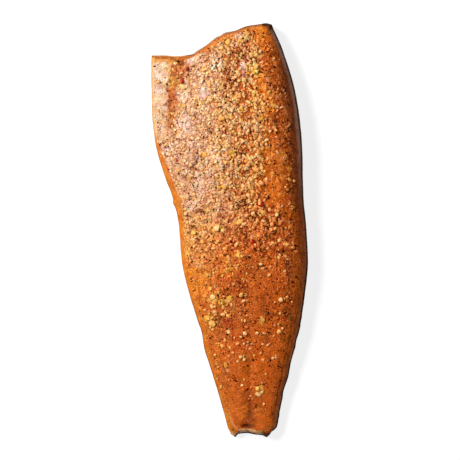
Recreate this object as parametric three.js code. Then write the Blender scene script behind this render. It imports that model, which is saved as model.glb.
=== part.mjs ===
// Side of hot-smoked salmon, lying skin side down with the seasoned flesh up.
// Millimetres, +Z up. +Y runs from the tail to the head end, +X from the thin
// belly edge to the thick back. The origin is at the middle of the base.
//
// The fillet is one solid. Its outline is two smooth edge lines and two knife
// cuts; its thickness is a crown line along the length times a cross profile.
import * as THREE from 'three';
import { mergeVertices } from 'three/addons/utils/BufferGeometryUtils.js';

// ---------------------------------------------------------------- sizes, mm
// about 440 long, 166 wide and 33 thick; the outline's edges are at [y, x]
const BELLY_EDGE = [
  [-225, 2.0], [-212, -1.2], [-160, -15.9], [-138, -22.9], [-124, -26.8], [-110, -29.2], [-97, -33.6], [-54, -46.4],
  [-32, -50.9], [5, -53.8], [31, -59.4], [53, -67.2], [80, -76.0], [100, -79.9], [125, -82.4], [186, -83.1], [240, -83.1],
];
const BACK_EDGE = [
  [-225, 48.8], [-204, 51.4], [-160, 60.6], [-118, 71.0], [-75, 79.0], [-32, 83.1], [5, 81.1],
  [35, 78.3], [90, 76.8], [120, 74.0], [150, 68.7], [191, 56.2], [207, 49.3], [214, 46.0], [221, 43.8], [240, 37.0],
];

// knife cuts across the ends, as [share of the width from the belly edge, y]
const HEAD_CUT = [
  [0, 185.9], [0.1, 185.9], [0.18, 185.0], [0.28, 186.3], [0.31, 187.2], [0.345, 190.6], [0.38, 193.6], [0.5, 204.2],
  [0.58, 209.6], [0.68, 212.4], [0.8, 217.2], [0.9, 219.0], [0.965, 220.2], [1, 219.0],
];
const TAIL_CUT = [
  [0, -212.5], [0.04, -217.2], [0.11, -220.3], [0.155, -218.2], [0.2, -217.0], [0.38, -216.2], [0.55, -217.7],
  [0.7, -218.4], [0.8, -220.4], [0.86, -218.2], [0.9, -214.8], [0.94, -213.4], [1, -210.2],
];
const HEAD_CUT_LEAN = 4.6;     // the head cut leans back: top edge behind its foot
const TAIL_CUT_LEAN = 4.0;     // the same at the tail

// thickness along the crown of the back loin, as [y, z]
const CROWN = [
  [-220, 12.0], [-200, 13.4], [-150, 17.8], [-90, 22.8], [-20, 27.4], [50, 30.6], [120, 32.0],
  [180, 30.2], [220, 27.2],
];
// thickness along the belly edge, as [y, z]
const BELLY = [
  [-220, 8.2], [-150, 9.2], [-60, 10.6], [20, 11.4], [90, 10.0], [130, 8.6], [220, 7.6],
];
const CROWN_AT = 0.66;         // the crown's share of the width
const RISE = 1.16;             // how late the height rises from the belly to the crown
const BACK_DROP = 0.13;        // how far the loin falls from its crown to the back edge

// rounding of the long edges
const BELLY_ROUND = [[-220, 3.0], [-100, 4.6], [60, 5.8], [100, 3.4], [220, 2.6]];   // [y, reach]
const BACK_ROUND = [[-220, 7.0], [-120, 11.0], [0, 15.0], [150, 16.0], [220, 12.0]]; // [y, reach]
const BELLY_BULGE_AT = 0.34;   // height of the widest line, as a share of the edge's height
const BACK_BULGE_AT = 0.40;
const BELLY_UNDERCUT = 2.0;    // how far the foot tucks in under the widest line
const BACK_UNDERCUT = 5.0;

// shallow valleys
const FLAP_VALLEY = [[100, -60.0], [118, -60.6], [140, -64.0], [160, -62.6], [182, -54.0], [200, -48.0]]; // [y, x]
const FLAP_VALLEY_DEPTH = 2.6;
const FLAP_VALLEY_WIDTH = 3.6;
const FLAP_END = [92, 116];    // the valley fades out between these y
const MIDLINE = [[-220, 0.43], [-180, 0.466], [-120, 0.492], [0, 0.53], [220, 0.6]];      // [y, share]
const MIDLINE_DEPTH = [[-220, 2.0], [-190, 1.7], [-140, 0.9], [-60, 0.45], [220, 0.45]]; // [y, depth]
const MIDLINE_WIDTH = 4.5;
const TAIL_HOLLOW = { x: 19.5, y: -208.5, depth: 2.2, rx: 9.0, ry: 6.0 };

// soft unevenness of the flesh: [height, wave length along x, phase, along y, phase]
const LUMPS = [
  [0.55, 83, 0.6, 118, 2.2], [0.4, 52, 2.1, 74, 0.4], [0.3, 37, 4.0, 49, 5.1],
];

// grid of the faceted surface
const ACROSS = 28, ALONG = 58, UP = 6;

// ---------------------------------------------------------------- helpers
const clamp01 = (t) => Math.min(1, Math.max(0, t));
const lerp = (a, b, t) => a + (b - a) * t;
const smooth = (a, b, v) => { const t = clamp01((v - a) / (b - a)); return t * t * (3 - 2 * t); };

// smooth line through [position, value] stations that never overshoots them
function line(stations) {
  const n = stations.length, d = [], m = [];
  for (let i = 0; i < n - 1; i++) {
    d.push((stations[i + 1][1] - stations[i][1]) / (stations[i + 1][0] - stations[i][0]));
  }
  for (let i = 0; i < n; i++) {
    if (i === 0) m.push(d[0]);
    else if (i === n - 1) m.push(d[n - 2]);
    else if (d[i - 1] * d[i] <= 0) m.push(0);
    else {
      const a = stations[i][0] - stations[i - 1][0], b = stations[i + 1][0] - stations[i][0];
      const w1 = 2 * b + a, w2 = b + 2 * a;
      m.push((w1 + w2) / (w1 / d[i - 1] + w2 / d[i]));
    }
  }
  return (at) => {
    const v = Math.min(Math.max(at, stations[0][0]), stations[n - 1][0]);
    let i = 0;
    while (i < n - 2 && v > stations[i + 1][0]) i++;
    const h = stations[i + 1][0] - stations[i][0], t = (v - stations[i][0]) / h;
    const t2 = t * t, t3 = t2 * t;
    return (2 * t3 - 3 * t2 + 1) * stations[i][1] + (t3 - 2 * t2 + t) * h * m[i]
      + (3 * t2 - 2 * t3) * stations[i + 1][1] + (t3 - t2) * h * m[i + 1];
  };
}

const bellyEdge = line(BELLY_EDGE), backEdge = line(BACK_EDGE);
const headCut = line(HEAD_CUT), tailCut = line(TAIL_CUT);
const crown = line(CROWN), belly = line(BELLY);
const bellyRound = line(BELLY_ROUND), backRound = line(BACK_ROUND);
const flapValley = line(FLAP_VALLEY), midline = line(MIDLINE), midlineDepth = line(MIDLINE_DEPTH);

// ---------------------------------------------------------------- form
// height of the seasoned top surface
function top(x, y) {
  const x0 = bellyEdge(y), width = backEdge(y) - x0, u = clamp01((x - x0) / width);
  const rise = Math.pow(Math.sin(Math.PI / 2 * clamp01(u / CROWN_AT)), RISE);
  const fall = u > CROWN_AT ? BACK_DROP * ((u - CROWN_AT) / (1 - CROWN_AT)) ** 2 : 0;
  const edge = belly(y), peak = crown(y);
  let z = edge + (peak - edge) * (rise - fall);
  // the belly flap lies low and flat beside its valley
  const flap = smooth(FLAP_END[0], FLAP_END[1], y), valley = flapValley(y);
  z = lerp(z, edge + (z - edge) * smooth(valley - 10, valley + 16, x), flap);
  z -= flap * FLAP_VALLEY_DEPTH * Math.exp(-(((x - valley) / FLAP_VALLEY_WIDTH) ** 2));
  z -= midlineDepth(y) * Math.exp(-(((u - midline(y)) * width / MIDLINE_WIDTH) ** 2));
  z -= TAIL_HOLLOW.depth * Math.exp(-(((x - TAIL_HOLLOW.x) / TAIL_HOLLOW.rx) ** 2) - (((y - TAIL_HOLLOW.y) / TAIL_HOLLOW.ry) ** 2));
  const inside = Math.sin(Math.PI * u);
  for (const [height, wx, px, wy, py] of LUMPS) {
    z += inside * height * Math.sin(2 * Math.PI * x / wx + px) * Math.sin(2 * Math.PI * y / wy + py);
  }
  return z;
}

// profile of a long edge: c = 0 at the foot, 1 at the top; gives the inset from
// the widest line and the share of the edge's height
function edgeProfile(c, reach, undercut, bulge) {
  const turn = 0.3;
  if (c < turn) {
    const t = Math.PI / 2 * (1 - c / turn);
    return [undercut * (1 - Math.cos(t)), bulge * (1 - Math.sin(t))];
  }
  const t = Math.PI / 2 * (1 - (c - turn) / (1 - turn));
  return [reach * (1 - Math.sin(t)), bulge + (1 - bulge) * Math.cos(t)];
}

// a, b, c run across, along and up, each from 0 to 1
function place(a, b, c) {
  const nominal = lerp(-214, 208, b);
  const [inA, upA] = edgeProfile(c, bellyRound(nominal), BELLY_UNDERCUT, BELLY_BULGE_AT);
  const [inB, upB] = edgeProfile(c, backRound(nominal), BACK_UNDERCUT, BACK_BULGE_AT);
  const span = backEdge(nominal) - bellyEdge(nominal);
  const u = lerp(inA, span - inB, a) / span;
  const share = lerp(upA, upB, a);               // share of the local thickness
  const lean = share ** 1.3;
  const y = lerp(tailCut(u) + TAIL_CUT_LEAN * lean, headCut(u) - HEAD_CUT_LEAN * lean, b);
  const x = lerp(bellyEdge(y) + inA, backEdge(y) - inB, a);
  return [x, y, share * top(x, y)];
}

// more grid lines where the belly flap and the two long edges turn
const spreadAcross = (a) => a - 0.045 * Math.sin(2 * Math.PI * a) - 0.012 * Math.sin(4 * Math.PI * a);
const spreadAlong = (b) => b - 0.03 * Math.sin(2 * Math.PI * b);

const block = new THREE.BoxGeometry(1, 1, 1, ACROSS, ALONG, UP);
block.deleteAttribute('normal');
block.deleteAttribute('uv');
const geometry = mergeVertices(block, 1e-5);
const position = geometry.attributes.position;
for (let i = 0; i < position.count; i++) {
  const a = spreadAcross(position.getX(i) + 0.5);
  const b = spreadAlong(position.getY(i) + 0.5);
  const c = position.getZ(i) + 0.5;
  position.setXYZ(i, ...place(a, b, c));
}
geometry.computeVertexNormals();

const fillet = new THREE.Mesh(geometry, new THREE.MeshStandardMaterial({
  color: 0xb9682e, roughness: 0.42, metalness: 0,
}));
fillet.name = 'fillet';

const group = new THREE.Group();
group.add(fillet);
export default group;
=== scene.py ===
"""Side of hot-smoked salmon: crusted flesh, skin, seeds, flakes, pepper and herbs."""
import math

import bmesh
import bpy
import numpy as np
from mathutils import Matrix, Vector, kdtree


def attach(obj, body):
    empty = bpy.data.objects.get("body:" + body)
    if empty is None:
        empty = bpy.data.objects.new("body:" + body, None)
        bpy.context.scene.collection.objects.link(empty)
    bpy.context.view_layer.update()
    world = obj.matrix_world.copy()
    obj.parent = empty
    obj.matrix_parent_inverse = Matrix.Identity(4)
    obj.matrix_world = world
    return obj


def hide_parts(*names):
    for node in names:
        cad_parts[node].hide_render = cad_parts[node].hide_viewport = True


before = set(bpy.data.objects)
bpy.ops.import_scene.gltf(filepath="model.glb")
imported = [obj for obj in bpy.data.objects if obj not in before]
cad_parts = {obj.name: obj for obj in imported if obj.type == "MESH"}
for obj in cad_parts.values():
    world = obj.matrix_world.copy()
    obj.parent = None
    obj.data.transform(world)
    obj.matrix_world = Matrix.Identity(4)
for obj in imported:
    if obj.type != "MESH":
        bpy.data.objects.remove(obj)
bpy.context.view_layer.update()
MM = 0.001
PX = 1.065            # millimetres of the fillet for each pixel of its picture


def at_px(px, py):
    """A place in the 460 x 460 view from above, as millimetres on the base plane."""
    return (px - 229.5) * PX, (230.0 - py) * PX


# ------------------------------------------------------------ sizes, mm
BELLY_EDGE = [
    (-225, 2.0), (-212, -1.2), (-160, -15.9), (-138, -22.9), (-124, -26.8), (-110, -29.2), (-97, -33.6), (-54, -46.4),
    (-32, -50.9), (5, -53.8), (31, -59.4), (53, -67.2), (80, -76.0), (100, -79.9), (125, -82.4), (186, -83.1), (240, -83.1)]
BACK_EDGE = [
    (-225, 48.8), (-204, 51.4), (-160, 60.6), (-118, 71.0), (-75, 79.0), (-32, 83.1), (5, 81.1),
    (35, 78.3), (90, 76.8), (120, 74.0), (150, 68.7), (191, 56.2), (207, 49.3), (214, 46.0), (221, 43.8), (240, 37.0)]
HEAD_CUT = [
    (0, 185.9), (0.1, 185.9), (0.18, 185.0), (0.28, 186.3), (0.31, 187.2), (0.345, 190.6), (0.38, 193.6), (0.5, 204.2),
    (0.58, 209.6), (0.68, 212.4), (0.8, 217.2), (0.9, 219.0), (0.965, 220.2), (1, 219.0)]
TAIL_CUT = [
    (0, -212.5), (0.04, -217.2), (0.11, -220.3), (0.155, -218.2), (0.2, -217.0), (0.38, -216.2), (0.55, -217.7),
    (0.7, -218.4), (0.8, -220.4), (0.86, -218.2), (0.9, -214.8), (0.94, -213.4), (1, -210.2)]
HEAD_CUT_LEAN, TAIL_CUT_LEAN = 4.6, 4.0
CROWN = [
    (-220, 12.0), (-200, 13.4), (-150, 17.8), (-90, 22.8), (-20, 27.4), (50, 30.6), (120, 32.0),
    (180, 30.2), (220, 27.2)]
BELLY = [(-220, 8.2), (-150, 9.2), (-60, 10.6), (20, 11.4), (90, 10.0), (130, 8.6), (220, 7.6)]
CROWN_AT, RISE, BACK_DROP = 0.66, 1.16, 0.13
BELLY_ROUND = [(-220, 3.0), (-100, 4.6), (60, 5.8), (100, 3.4), (220, 2.6)]
BACK_ROUND = [(-220, 7.0), (-120, 11.0), (0, 15.0), (150, 16.0), (220, 12.0)]
BELLY_BULGE_AT, BACK_BULGE_AT = 0.34, 0.40
BELLY_UNDERCUT, BACK_UNDERCUT = 2.0, 5.0
FLAP_VALLEY = [(100, -60.0), (118, -60.6), (140, -64.0), (160, -62.6), (182, -54.0), (200, -48.0)]
FLAP_VALLEY_DEPTH, FLAP_VALLEY_WIDTH, FLAP_END = 2.6, 3.6, (92, 116)
MIDLINE = [(-220, 0.43), (-180, 0.466), (-120, 0.492), (0, 0.53), (220, 0.6)]
MIDLINE_DEPTH = [(-220, 2.0), (-190, 1.7), (-140, 0.9), (-60, 0.45), (220, 0.45)]
MIDLINE_WIDTH = 4.5
LUMPS = [(0.55, 83, 0.6, 118, 2.2), (0.4, 52, 2.1, 74, 0.4), (0.3, 37, 4.0, 49, 5.1)]
SKIN = 1.15           # thickness of the skin
PEEK = 0.9            # how far the skin shows beyond the flesh at a cut
SKIN_LIP = 2.52       # how high the skin reaches up the back wall, 3 foot, 2 shoulder

ROWS, COLS = 424, 216  # grid of the flesh
CUT_ROWS = 16
CAMERA_HEIGHT = 2100.0

# ------------------------------------------------------------ features, placed in the view from above
# thin crust where the glazed flesh shows: x, y, half width, half height, strength
BARE = [
    (263, 32, 9, 9, 1.0), (205, 50, 12, 3, 0.6), (266, 76, 7, 12, 0.9), (272, 104, 4, 9, 0.8), (281, 165, 5, 16, 0.8), (265, 152, 5, 7, 0.6), (262, 84, 4, 8, 0.7),
    (277, 190, 8, 14, 0.9), (268, 202, 7, 5, 0.6), (286, 216, 5, 12, 0.7), (193, 280, 12, 13, 0.9), (263, 288, 10, 9, 0.7),
    (268, 326, 8, 8, 0.5), (251, 370, 14, 8, 0.8), (236, 405, 9, 16, 0.8), (204, 336, 4, 14, 0.6), (222, 132, 3, 4, 0.4),
    (258, 232, 6, 4, 0.5), (178, 196, 4, 12, 0.5), (262, 415, 9, 10, 0.8), (284, 236, 6, 8, 0.5), (241, 270, 5, 4, 0.4)]
# thick, pale crust, with a pinkish-white painted sheen of the glaze
FROST_AND_SHEEN = [
    (192, 60, 5, 4, 1.0), (218, 64, 7, 8, 0.5), (243.5, 68, 3, 8, 1.0), (240, 36, 5, 5, 0.7), (203, 93, 6, 7, 0.8),
    (186, 124, 8, 10, 0.45), (166, 150, 6, 7, 0.5), (200, 186, 8, 7, 0.4), (192, 206, 6, 5, 0.4),
    (158, 90, 5, 26, 0.6), (184, 97, 5, 8, 0.5)]
# round pale seeds: x, y, width, how much they fade into the glaze
SEEDS = [
    (273, 243, 4.0, 0.0), (237, 244, 4.4, 0.0), (277, 215, 4.2, 0.0), (278, 211, 3.2, 0.2), (203, 219, 3.4, 0.2),
    (217, 243, 3.8, 0.1), (294, 181, 3.4, 0.1), (222, 48, 4.0, 0.1), (276, 130, 3.4, 0.1), (271, 98, 3.4, 0.1),
    (269, 275, 4.4, 0.3), (261, 264, 4.0, 0.2), (241.5, 295, 4.6, 0.0), (281, 300, 4.8, 0.0), (287, 297, 3.0, 0.6),
    (212, 306.5, 4.0, 0.2), (215, 312, 3.8, 0.1), (223, 314.5, 4.2, 0.2), (228.5, 315.5, 4.4, 0.1), (213, 329.5, 3.2, 0.2),
    (229, 332, 4.2, 0.0), (245, 333.5, 4.4, 0.0), (257, 333, 4.0, 0.0), (274, 336, 2.8, 0.5), (245, 321, 3.2, 0.5),
    (244, 344, 2.6, 0.2), (248, 342, 2.6, 0.3), (247, 346, 2.2, 0.3), (225, 340, 3.4, 0.2), (222, 346, 3.6, 0.2), (219, 343.5, 2.2, 0.3),
    (233, 353, 3.4, 0.4), (229, 356, 2.4, 0.4), (215, 355, 3.0, 0.3), (241, 357, 3.4, 0.1), (244.5, 359.5, 3.8, 0.1),
    (261, 353, 2.8, 0.2), (273, 358, 3.6, 0.1), (276, 355.5, 2.2, 0.3), (268, 345, 2.6, 0.5), (266, 374, 2.6, 0.5),
    (264, 404, 2.6, 0.0), (251, 396, 3.0, 0.6), (252.5, 399, 2.2, 0.6), (279.5, 331.5, 5.2, 0.1), (282.5, 328.5, 3.0, 0.3),
    (292, 302, 2.0, 0.6), (229, 380, 2.0, 0.4), (205, 310, 2.8, 0.4), (285.5, 187, 2.4, 0.4), (292, 209, 2.4, 0.4),
    (240, 131, 3.0, 0.3), (236, 140, 3.6, 0.3), (243, 134, 3.0, 0.3), (213, 118, 3.2, 0.3), (251, 160, 3.4, 0.3),
    (258, 170, 4.6, 0.2), (236, 163, 3.6, 0.2), (206, 218, 3.4, 0.2), (214, 246, 3.2, 0.3), (209, 240, 3.0, 0.3)]
# yellow and yellow-green flakes: x, y, width, how much they fade into the glaze
FLAKES = [
    (238, 254, 5.0, 0.0), (263, 213, 6.0, 0.1), (240, 222, 6.0, 0.0), (217, 227, 6.5, 0.1), (223, 231, 4.0, 0.1),
    (194, 233, 4.0, 0.2), (208, 210, 4.6, 0.2), (224, 187, 5.0, 0.1), (219, 188, 4.0, 0.2), (243, 186, 4.0, 0.2),
    (204, 155, 5.6, 0.1), (232, 153, 5.6, 0.1), (213, 297, 5.4, 0.0), (209.5, 300, 3.2, 0.2), (216, 301, 3.4, 0.2),
    (229.5, 298, 4.2, 0.0), (229, 302, 4.2, 0.1), (222.5, 301, 4.0, 0.4), (207.5, 318, 5.0, 0.0), (212.5, 324, 5.6, 0.0),
    (263, 320, 4.4, 0.5), (257.5, 388.5, 3.8, 0.0), (262, 392, 3.4, 0.1), (258.5, 394.5, 4.2, 0.2), (221, 387, 3.0, 0.5),
    (228, 42, 5.0, 0.1), (247, 33, 4.4, 0.2), (256, 67, 4.4, 0.1), (254, 72, 4.6, 0.1), (241, 110, 5.0, 0.1),
    (235, 98, 4.4, 0.2), (255, 100, 4.6, 0.2), (183, 87, 4.4, 0.2), (197, 86, 4.0, 0.3), (226, 365, 4.6, 0.6),
    (217, 364, 3.4, 0.6), (228, 371, 3.8, 0.7), (222, 118, 5.0, 0.2), (261, 119, 4.0, 0.2), (269, 92, 3.4, 0.2)]
# clusters of cracked pepper
DARKS = [
    (237, 203), (229, 199), (246, 171), (216, 63), (216, 67), (231, 80), (233, 92), (243, 38), (247, 47), (248, 51),
    (274, 67), (262, 251), (249, 257), (255, 248.5), (229, 222), (277, 226), (283, 250), (243, 338), (227, 329),
    (227, 334.5), (179, 61.5), (172, 100.5), (253, 360), (270, 360), (236, 381), (243, 385.5), (278, 366), (268, 313), (243, 298), (245, 357)]
# soft stains in the glaze: x, y, half width, half height, strength
GOLDEN = [
    (172, 84, 4, 6, 1.0), (170, 70, 3, 5, 0.7), (243, 36, 4, 5, 0.8), (227, 42, 4, 4, 0.8), (253, 70, 6, 6, 0.9), (233, 97, 4, 5, 0.7), (241, 110, 4, 4, 0.7),
    (254, 101, 4, 10, 0.9), (222, 119, 6, 6, 0.6), (204, 155, 4, 4, 0.9), (232, 154, 3, 5, 0.9), (223, 178, 6, 3, 0.8),
    (221, 187, 6, 3, 0.9), (263, 212, 4, 4, 1.0), (240, 222, 5, 3, 1.0), (218, 228, 6, 4, 1.0), (238, 255, 4, 3, 1.0),
    (187, 253, 4, 6, 0.6), (228, 268, 4, 4, 0.6), (207, 275, 4, 3, 0.5), (212, 298, 5, 4, 0.9), (224, 302, 6, 4, 0.9),
    (208, 318, 5, 4, 0.8), (213, 325, 3, 4, 0.9), (261, 320, 3, 4, 0.7), (243, 358, 4, 3, 0.6), (259, 391, 4, 5, 0.9),
    (208, 210, 6, 4, 0.7), (258, 168, 5, 5, 0.6), (194, 233, 4, 4, 0.7), (273, 104, 3, 4, 0.7), (198, 103, 6, 5, 0.5), (215, 103, 5, 4, 0.5)]
BROWNED = [
    (247, 73, 3, 5, 0.9), (231, 81, 7, 3, 0.6), (232, 93, 3, 3, 0.8), (240, 53, 6, 5, 0.7), (275, 121, 3, 5, 0.7),
    (209, 132, 4, 6, 0.2), (234, 84, 6, 9, 0.2), (227, 96, 4, 6, 0.35), (238, 165, 5, 8, 0.35), (222, 140, 3, 7, 0.3), (252, 130, 3, 3, 0.7), (197, 155, 2, 7, 0.6), (194, 167, 3, 4, 0.6), (187, 178, 3, 3, 0.4),
    (230, 176, 3, 5, 0.8), (246, 172, 5, 5, 0.7), (230, 198, 5, 3, 0.7), (238, 203, 5, 3, 0.7), (201, 213, 5, 4, 0.4),
    (253, 212, 5, 5, 0.5), (269, 235, 4, 5, 0.5), (282, 252, 4, 4, 0.9), (248, 257, 4, 3, 0.8), (261, 250, 4, 4, 0.7),
    (289, 268, 5, 9, 0.6), (287, 313, 4, 8, 0.5), (268, 313, 5, 7, 0.6), (266, 341, 5, 3, 0.35), (264, 300, 3, 9, 0.3), (243, 295, 5, 4, 0.4), (243, 205, 5, 4, 0.5), (238, 285, 8, 5, 0.4),
    (217, 320, 3, 6, 0.6), (269, 74, 3, 7, 0.6), (270, 86, 4, 4, 0.6), (228, 72, 6, 6, 0.4), (253, 268, 8, 8, 0.3)]
REDDENED = [(232, 245, 4, 5, 0.9), (252, 242, 5, 4, 0.9), (262, 205, 4, 4, 0.8), (229, 321, 6, 6, 0.9), (233, 331, 4, 5, 0.6), (232, 305, 6, 5, 0.5), (243, 303, 4, 4, 0.4), (182, 80, 4, 3, 0.8),
            (238, 345, 4, 10, 0.4), (186, 66, 5, 7, 0.8), (240, 270, 6, 4, 0.4), (174, 94, 5, 5, 0.9), (173, 108, 4, 5, 0.6),
            (181, 73, 4, 6, 0.6), (212, 44, 5, 4, 0.4), (228, 178, 4, 3, 0.7), (204, 305, 4, 3, 0.5), (238, 308, 6, 5, 0.3)]
# clusters of golden lumps: x, y, half width, half height, strength
CLUSTERS = [
    (219, 299, 15, 7, 1.0), (212, 321, 9, 9, 0.9), (227, 315, 7, 5, 0.6), (222, 343, 8, 6, 0.5), (242, 356, 9, 5, 0.5),
    (222, 364, 9, 7, 0.3), (259, 391, 4, 5, 0.5), (208, 275, 8, 4, 0.5), (263, 262, 5, 5, 0.4), (226, 268, 5, 4, 0.5),
    (236, 309, 11, 10, 0.7), (274, 107, 5, 12, 0.6), (287, 130, 3, 4, 0.5), (176, 75, 6, 12, 0.7), (292, 164, 2, 7, 0.5)]
REDS = [(183, 81), (261, 205), (232, 245), (253, 242), (188, 69), (261, 203), (231, 242)]
HERBS = [(275, 122), (238, 208), (266, 236), (270, 234), (284, 216), (226, 98), (211, 132), (208, 131)]


# large soft washes over the whole crust: x, y, half width, half height, share of red, green and blue kept
WASHES = [
    (258, 92, 12, 42, (1.13, 1.19, 1.20)), (238, 78, 12, 20, (1.11, 1.11, 1.16)), (239, 188, 15, 16, (0.93, 0.82, 0.66)), (196, 230, 13, 17, (1.14, 1.30, 1.42)),
    (262, 292, 14, 14, (0.93, 0.82, 0.70)), (216, 338, 10, 28, (0.91, 0.86, 0.70)), (262, 44, 10, 14, (1.10, 1.10, 1.0)),
    (282, 154, 8, 42, (0.97, 0.97, 0.88)), (270, 90, 10, 26, (1.13, 1.14, 1.05)), (221, 66, 9, 16, (1.12, 1.15, 1.22)), (220, 134, 10, 14, (1.08, 1.08, 1.0)), (185, 209, 12, 9, (1.05, 1.15, 1.25)), (272, 232, 13, 24, (1.02, 0.88, 0.72)), (230, 260, 16, 14, (1.09, 1.16, 1.08)), (260, 364, 9, 12, (1.12, 1.08, 1.0)), (206, 206, 9, 9, (0.90, 0.84, 0.86)), (296, 236, 6, 40, (1.03, 1.06, 1.0)), (163, 136, 9, 12, (0.91, 0.92, 0.92)),
    (260, 160, 15, 16, (1.16, 1.36, 1.46)), (177, 76, 10, 26, (0.92, 0.95, 0.88)), (266, 398, 12, 22, (0.93, 0.88, 0.75)), (220, 184, 60, 12, (1.0, 0.97, 0.93))]


# ------------------------------------------------------------ helpers
def line(stations):
    """Smooth line through (position, value) stations that never overshoots them."""
    x = np.array([s[0] for s in stations], float)
    y = np.array([s[1] for s in stations], float)
    h, d = np.diff(x), np.diff(y) / np.diff(x)
    m = np.zeros(len(x))
    m[0], m[-1] = d[0], d[-1]
    for i in range(1, len(x) - 1):
        if d[i - 1] * d[i] > 0:
            w1, w2 = 2 * h[i] + h[i - 1], h[i] + 2 * h[i - 1]
            m[i] = (w1 + w2) / (w1 / d[i - 1] + w2 / d[i])

    def value(at):
        v = np.clip(np.asarray(at, float), x[0], x[-1])
        i = np.clip(np.searchsorted(x, v, side="right") - 1, 0, len(x) - 2)
        t = (v - x[i]) / h[i]
        t2, t3 = t * t, t * t * t
        return ((2 * t3 - 3 * t2 + 1) * y[i] + (t3 - 2 * t2 + t) * h[i] * m[i]
                + (3 * t2 - 2 * t3) * y[i + 1] + (t3 - t2) * h[i] * m[i + 1])
    return value


def lerp(a, b, t):
    return a + (b - a) * t


def smooth(a, b, v):
    t = np.clip((v - a) / (b - a), 0.0, 1.0)
    return t * t * (3 - 2 * t)


def bell(v, centre, width):
    return np.exp(-(((v - centre) / width) ** 2))


def srgb(r, g, b):
    """A colour given as 0 to 255 on a screen, as linear numbers."""
    c = np.array([r, g, b], float) / 255
    return np.where(c <= 0.04045, c / 12.92, ((c + 0.055) / 1.055) ** 2.4)


def mix(c0, c1, t):
    return c0 + (np.asarray(c1) - c0) * np.clip(np.asarray(t, float), 0, 1)[..., None]


def noise(x, y, seed):
    """Smooth gradient noise, about -0.7 to 0.7, one unit from lump to lump."""
    angle = np.random.default_rng(seed).random((256, 256)) * 2 * math.pi
    gx, gy = np.cos(angle), np.sin(angle)
    xi, yi = np.floor(x).astype(int), np.floor(y).astype(int)
    fx, fy = x - xi, y - yi
    u, v = fx ** 3 * (fx * (fx * 6 - 15) + 10), fy ** 3 * (fy * (fy * 6 - 15) + 10)

    def corner(i, j):
        a, b = (xi + i) & 255, (yi + j) & 255
        return gx[a, b] * (fx - i) + gy[a, b] * (fy - j)
    return lerp(lerp(corner(0, 0), corner(1, 0), u), lerp(corner(0, 1), corner(1, 1), u), v)


def fbm(x, y, size, seed, octaves=3, gain=0.5):
    """Layered noise whose largest lumps are size mm across; about -1 to 1."""
    out, amp, total = 0.0, 1.0, 0.0
    for k in range(octaves):
        c, s = math.cos(0.6 + 1.1 * k), math.sin(0.6 + 1.1 * k)
        out = out + amp * noise((x * c + y * s) / size + 17.3 * k, (y * c - x * s) / size + 5.1 * k, seed * 31 + k)
        total += amp
        amp *= gain
        size *= 0.5
    return out / total * 1.5


def caps(x, y, size, seed, share, low, high):
    """Rounded uneven lumps, one at most for each size mm: how high the surface stands in them, and two numbers that are each lump's own."""
    rng = np.random.default_rng(seed)
    ox, oy, tag, one, two, turn, long = (rng.random((256, 256)) for _ in range(7))
    gx = (x + 0.22 * size * fbm(x, y, 1.1 * size, seed + 500, 2)) / size
    gy = (y + 0.22 * size * fbm(x, y, 1.1 * size, seed + 501, 2)) / size
    xi, yi = np.floor(gx).astype(int), np.floor(gy).astype(int)
    best, first, second = np.zeros(np.shape(gx)), np.zeros(np.shape(gx)), np.zeros(np.shape(gx))
    for i in (-1, 0, 1):
        for j in (-1, 0, 1):
            a, b = (xi + i) & 255, (yi + j) & 255
            dx, dy = gx - (xi + i + 0.1 + 0.8 * ox[a, b]), gy - (yi + j + 0.1 + 0.8 * oy[a, b])
            cs, sn = np.cos(6.28 * turn[a, b]), np.sin(6.28 * turn[a, b])
            e = 1 + 0.5 * long[a, b]
            r = (low + (high - low) * one[a, b] ** 1.5) / np.sqrt(e)
            d2 = ((dx * cs + dy * sn) / e) ** 2 + (dy * cs - dx * sn) ** 2
            h = np.where(tag[a, b] < share, np.clip(1 - d2 / r ** 2, 0, 1) ** 0.75 * (0.55 + 0.45 * one[a, b]), 0)
            more = h > best
            best, first, second = np.where(more, h, best), np.where(more, two[a, b], first), np.where(more, turn[a, b], second)
    return best, first, second


def unit(v):
    return v / np.maximum(np.linalg.norm(v, axis=-1, keepdims=True), 1e-12)


belly_edge, back_edge = line(BELLY_EDGE), line(BACK_EDGE)
head_cut, tail_cut = line(HEAD_CUT), line(TAIL_CUT)
crown, belly = line(CROWN), line(BELLY)
belly_round, back_round = line(BELLY_ROUND), line(BACK_ROUND)
flap_valley, midline, midline_depth = line(FLAP_VALLEY), line(MIDLINE), line(MIDLINE_DEPTH)


# ------------------------------------------------------------ form, as the CAD solid has it
def top(x, y):
    """Height of the seasoned top surface."""
    x0 = belly_edge(y)
    width = back_edge(y) - x0
    u = np.clip((x - x0) / width, 0, 1)
    rise = np.sin(np.pi / 2 * np.clip(u / CROWN_AT, 0, 1)) ** RISE
    fall = np.where(u > CROWN_AT, BACK_DROP * ((u - CROWN_AT) / (1 - CROWN_AT)) ** 2, 0)
    edge, peak = belly(y), crown(y)
    z = edge + (peak - edge) * (rise - fall)
    flap, valley = smooth(FLAP_END[0], FLAP_END[1], y), flap_valley(y)
    z = lerp(z, edge + (z - edge) * smooth(valley - 10, valley + 16, x), flap)
    z = z - flap * FLAP_VALLEY_DEPTH * bell(x, valley, FLAP_VALLEY_WIDTH)
    z = z - midline_depth(y) * bell((u - midline(y)) * width, 0, MIDLINE_WIDTH)
    z = z - 2.2 * np.exp(-(((x - 19.5) / 9.0) ** 2) - (((y + 208.5) / 6.0) ** 2))
    inside = np.sin(np.pi * u)
    for height, wx, px, wy, py in LUMPS:
        z = z + inside * height * np.sin(2 * np.pi * x / wx + px) * np.sin(2 * np.pi * y / wy + py)
    return z


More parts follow.
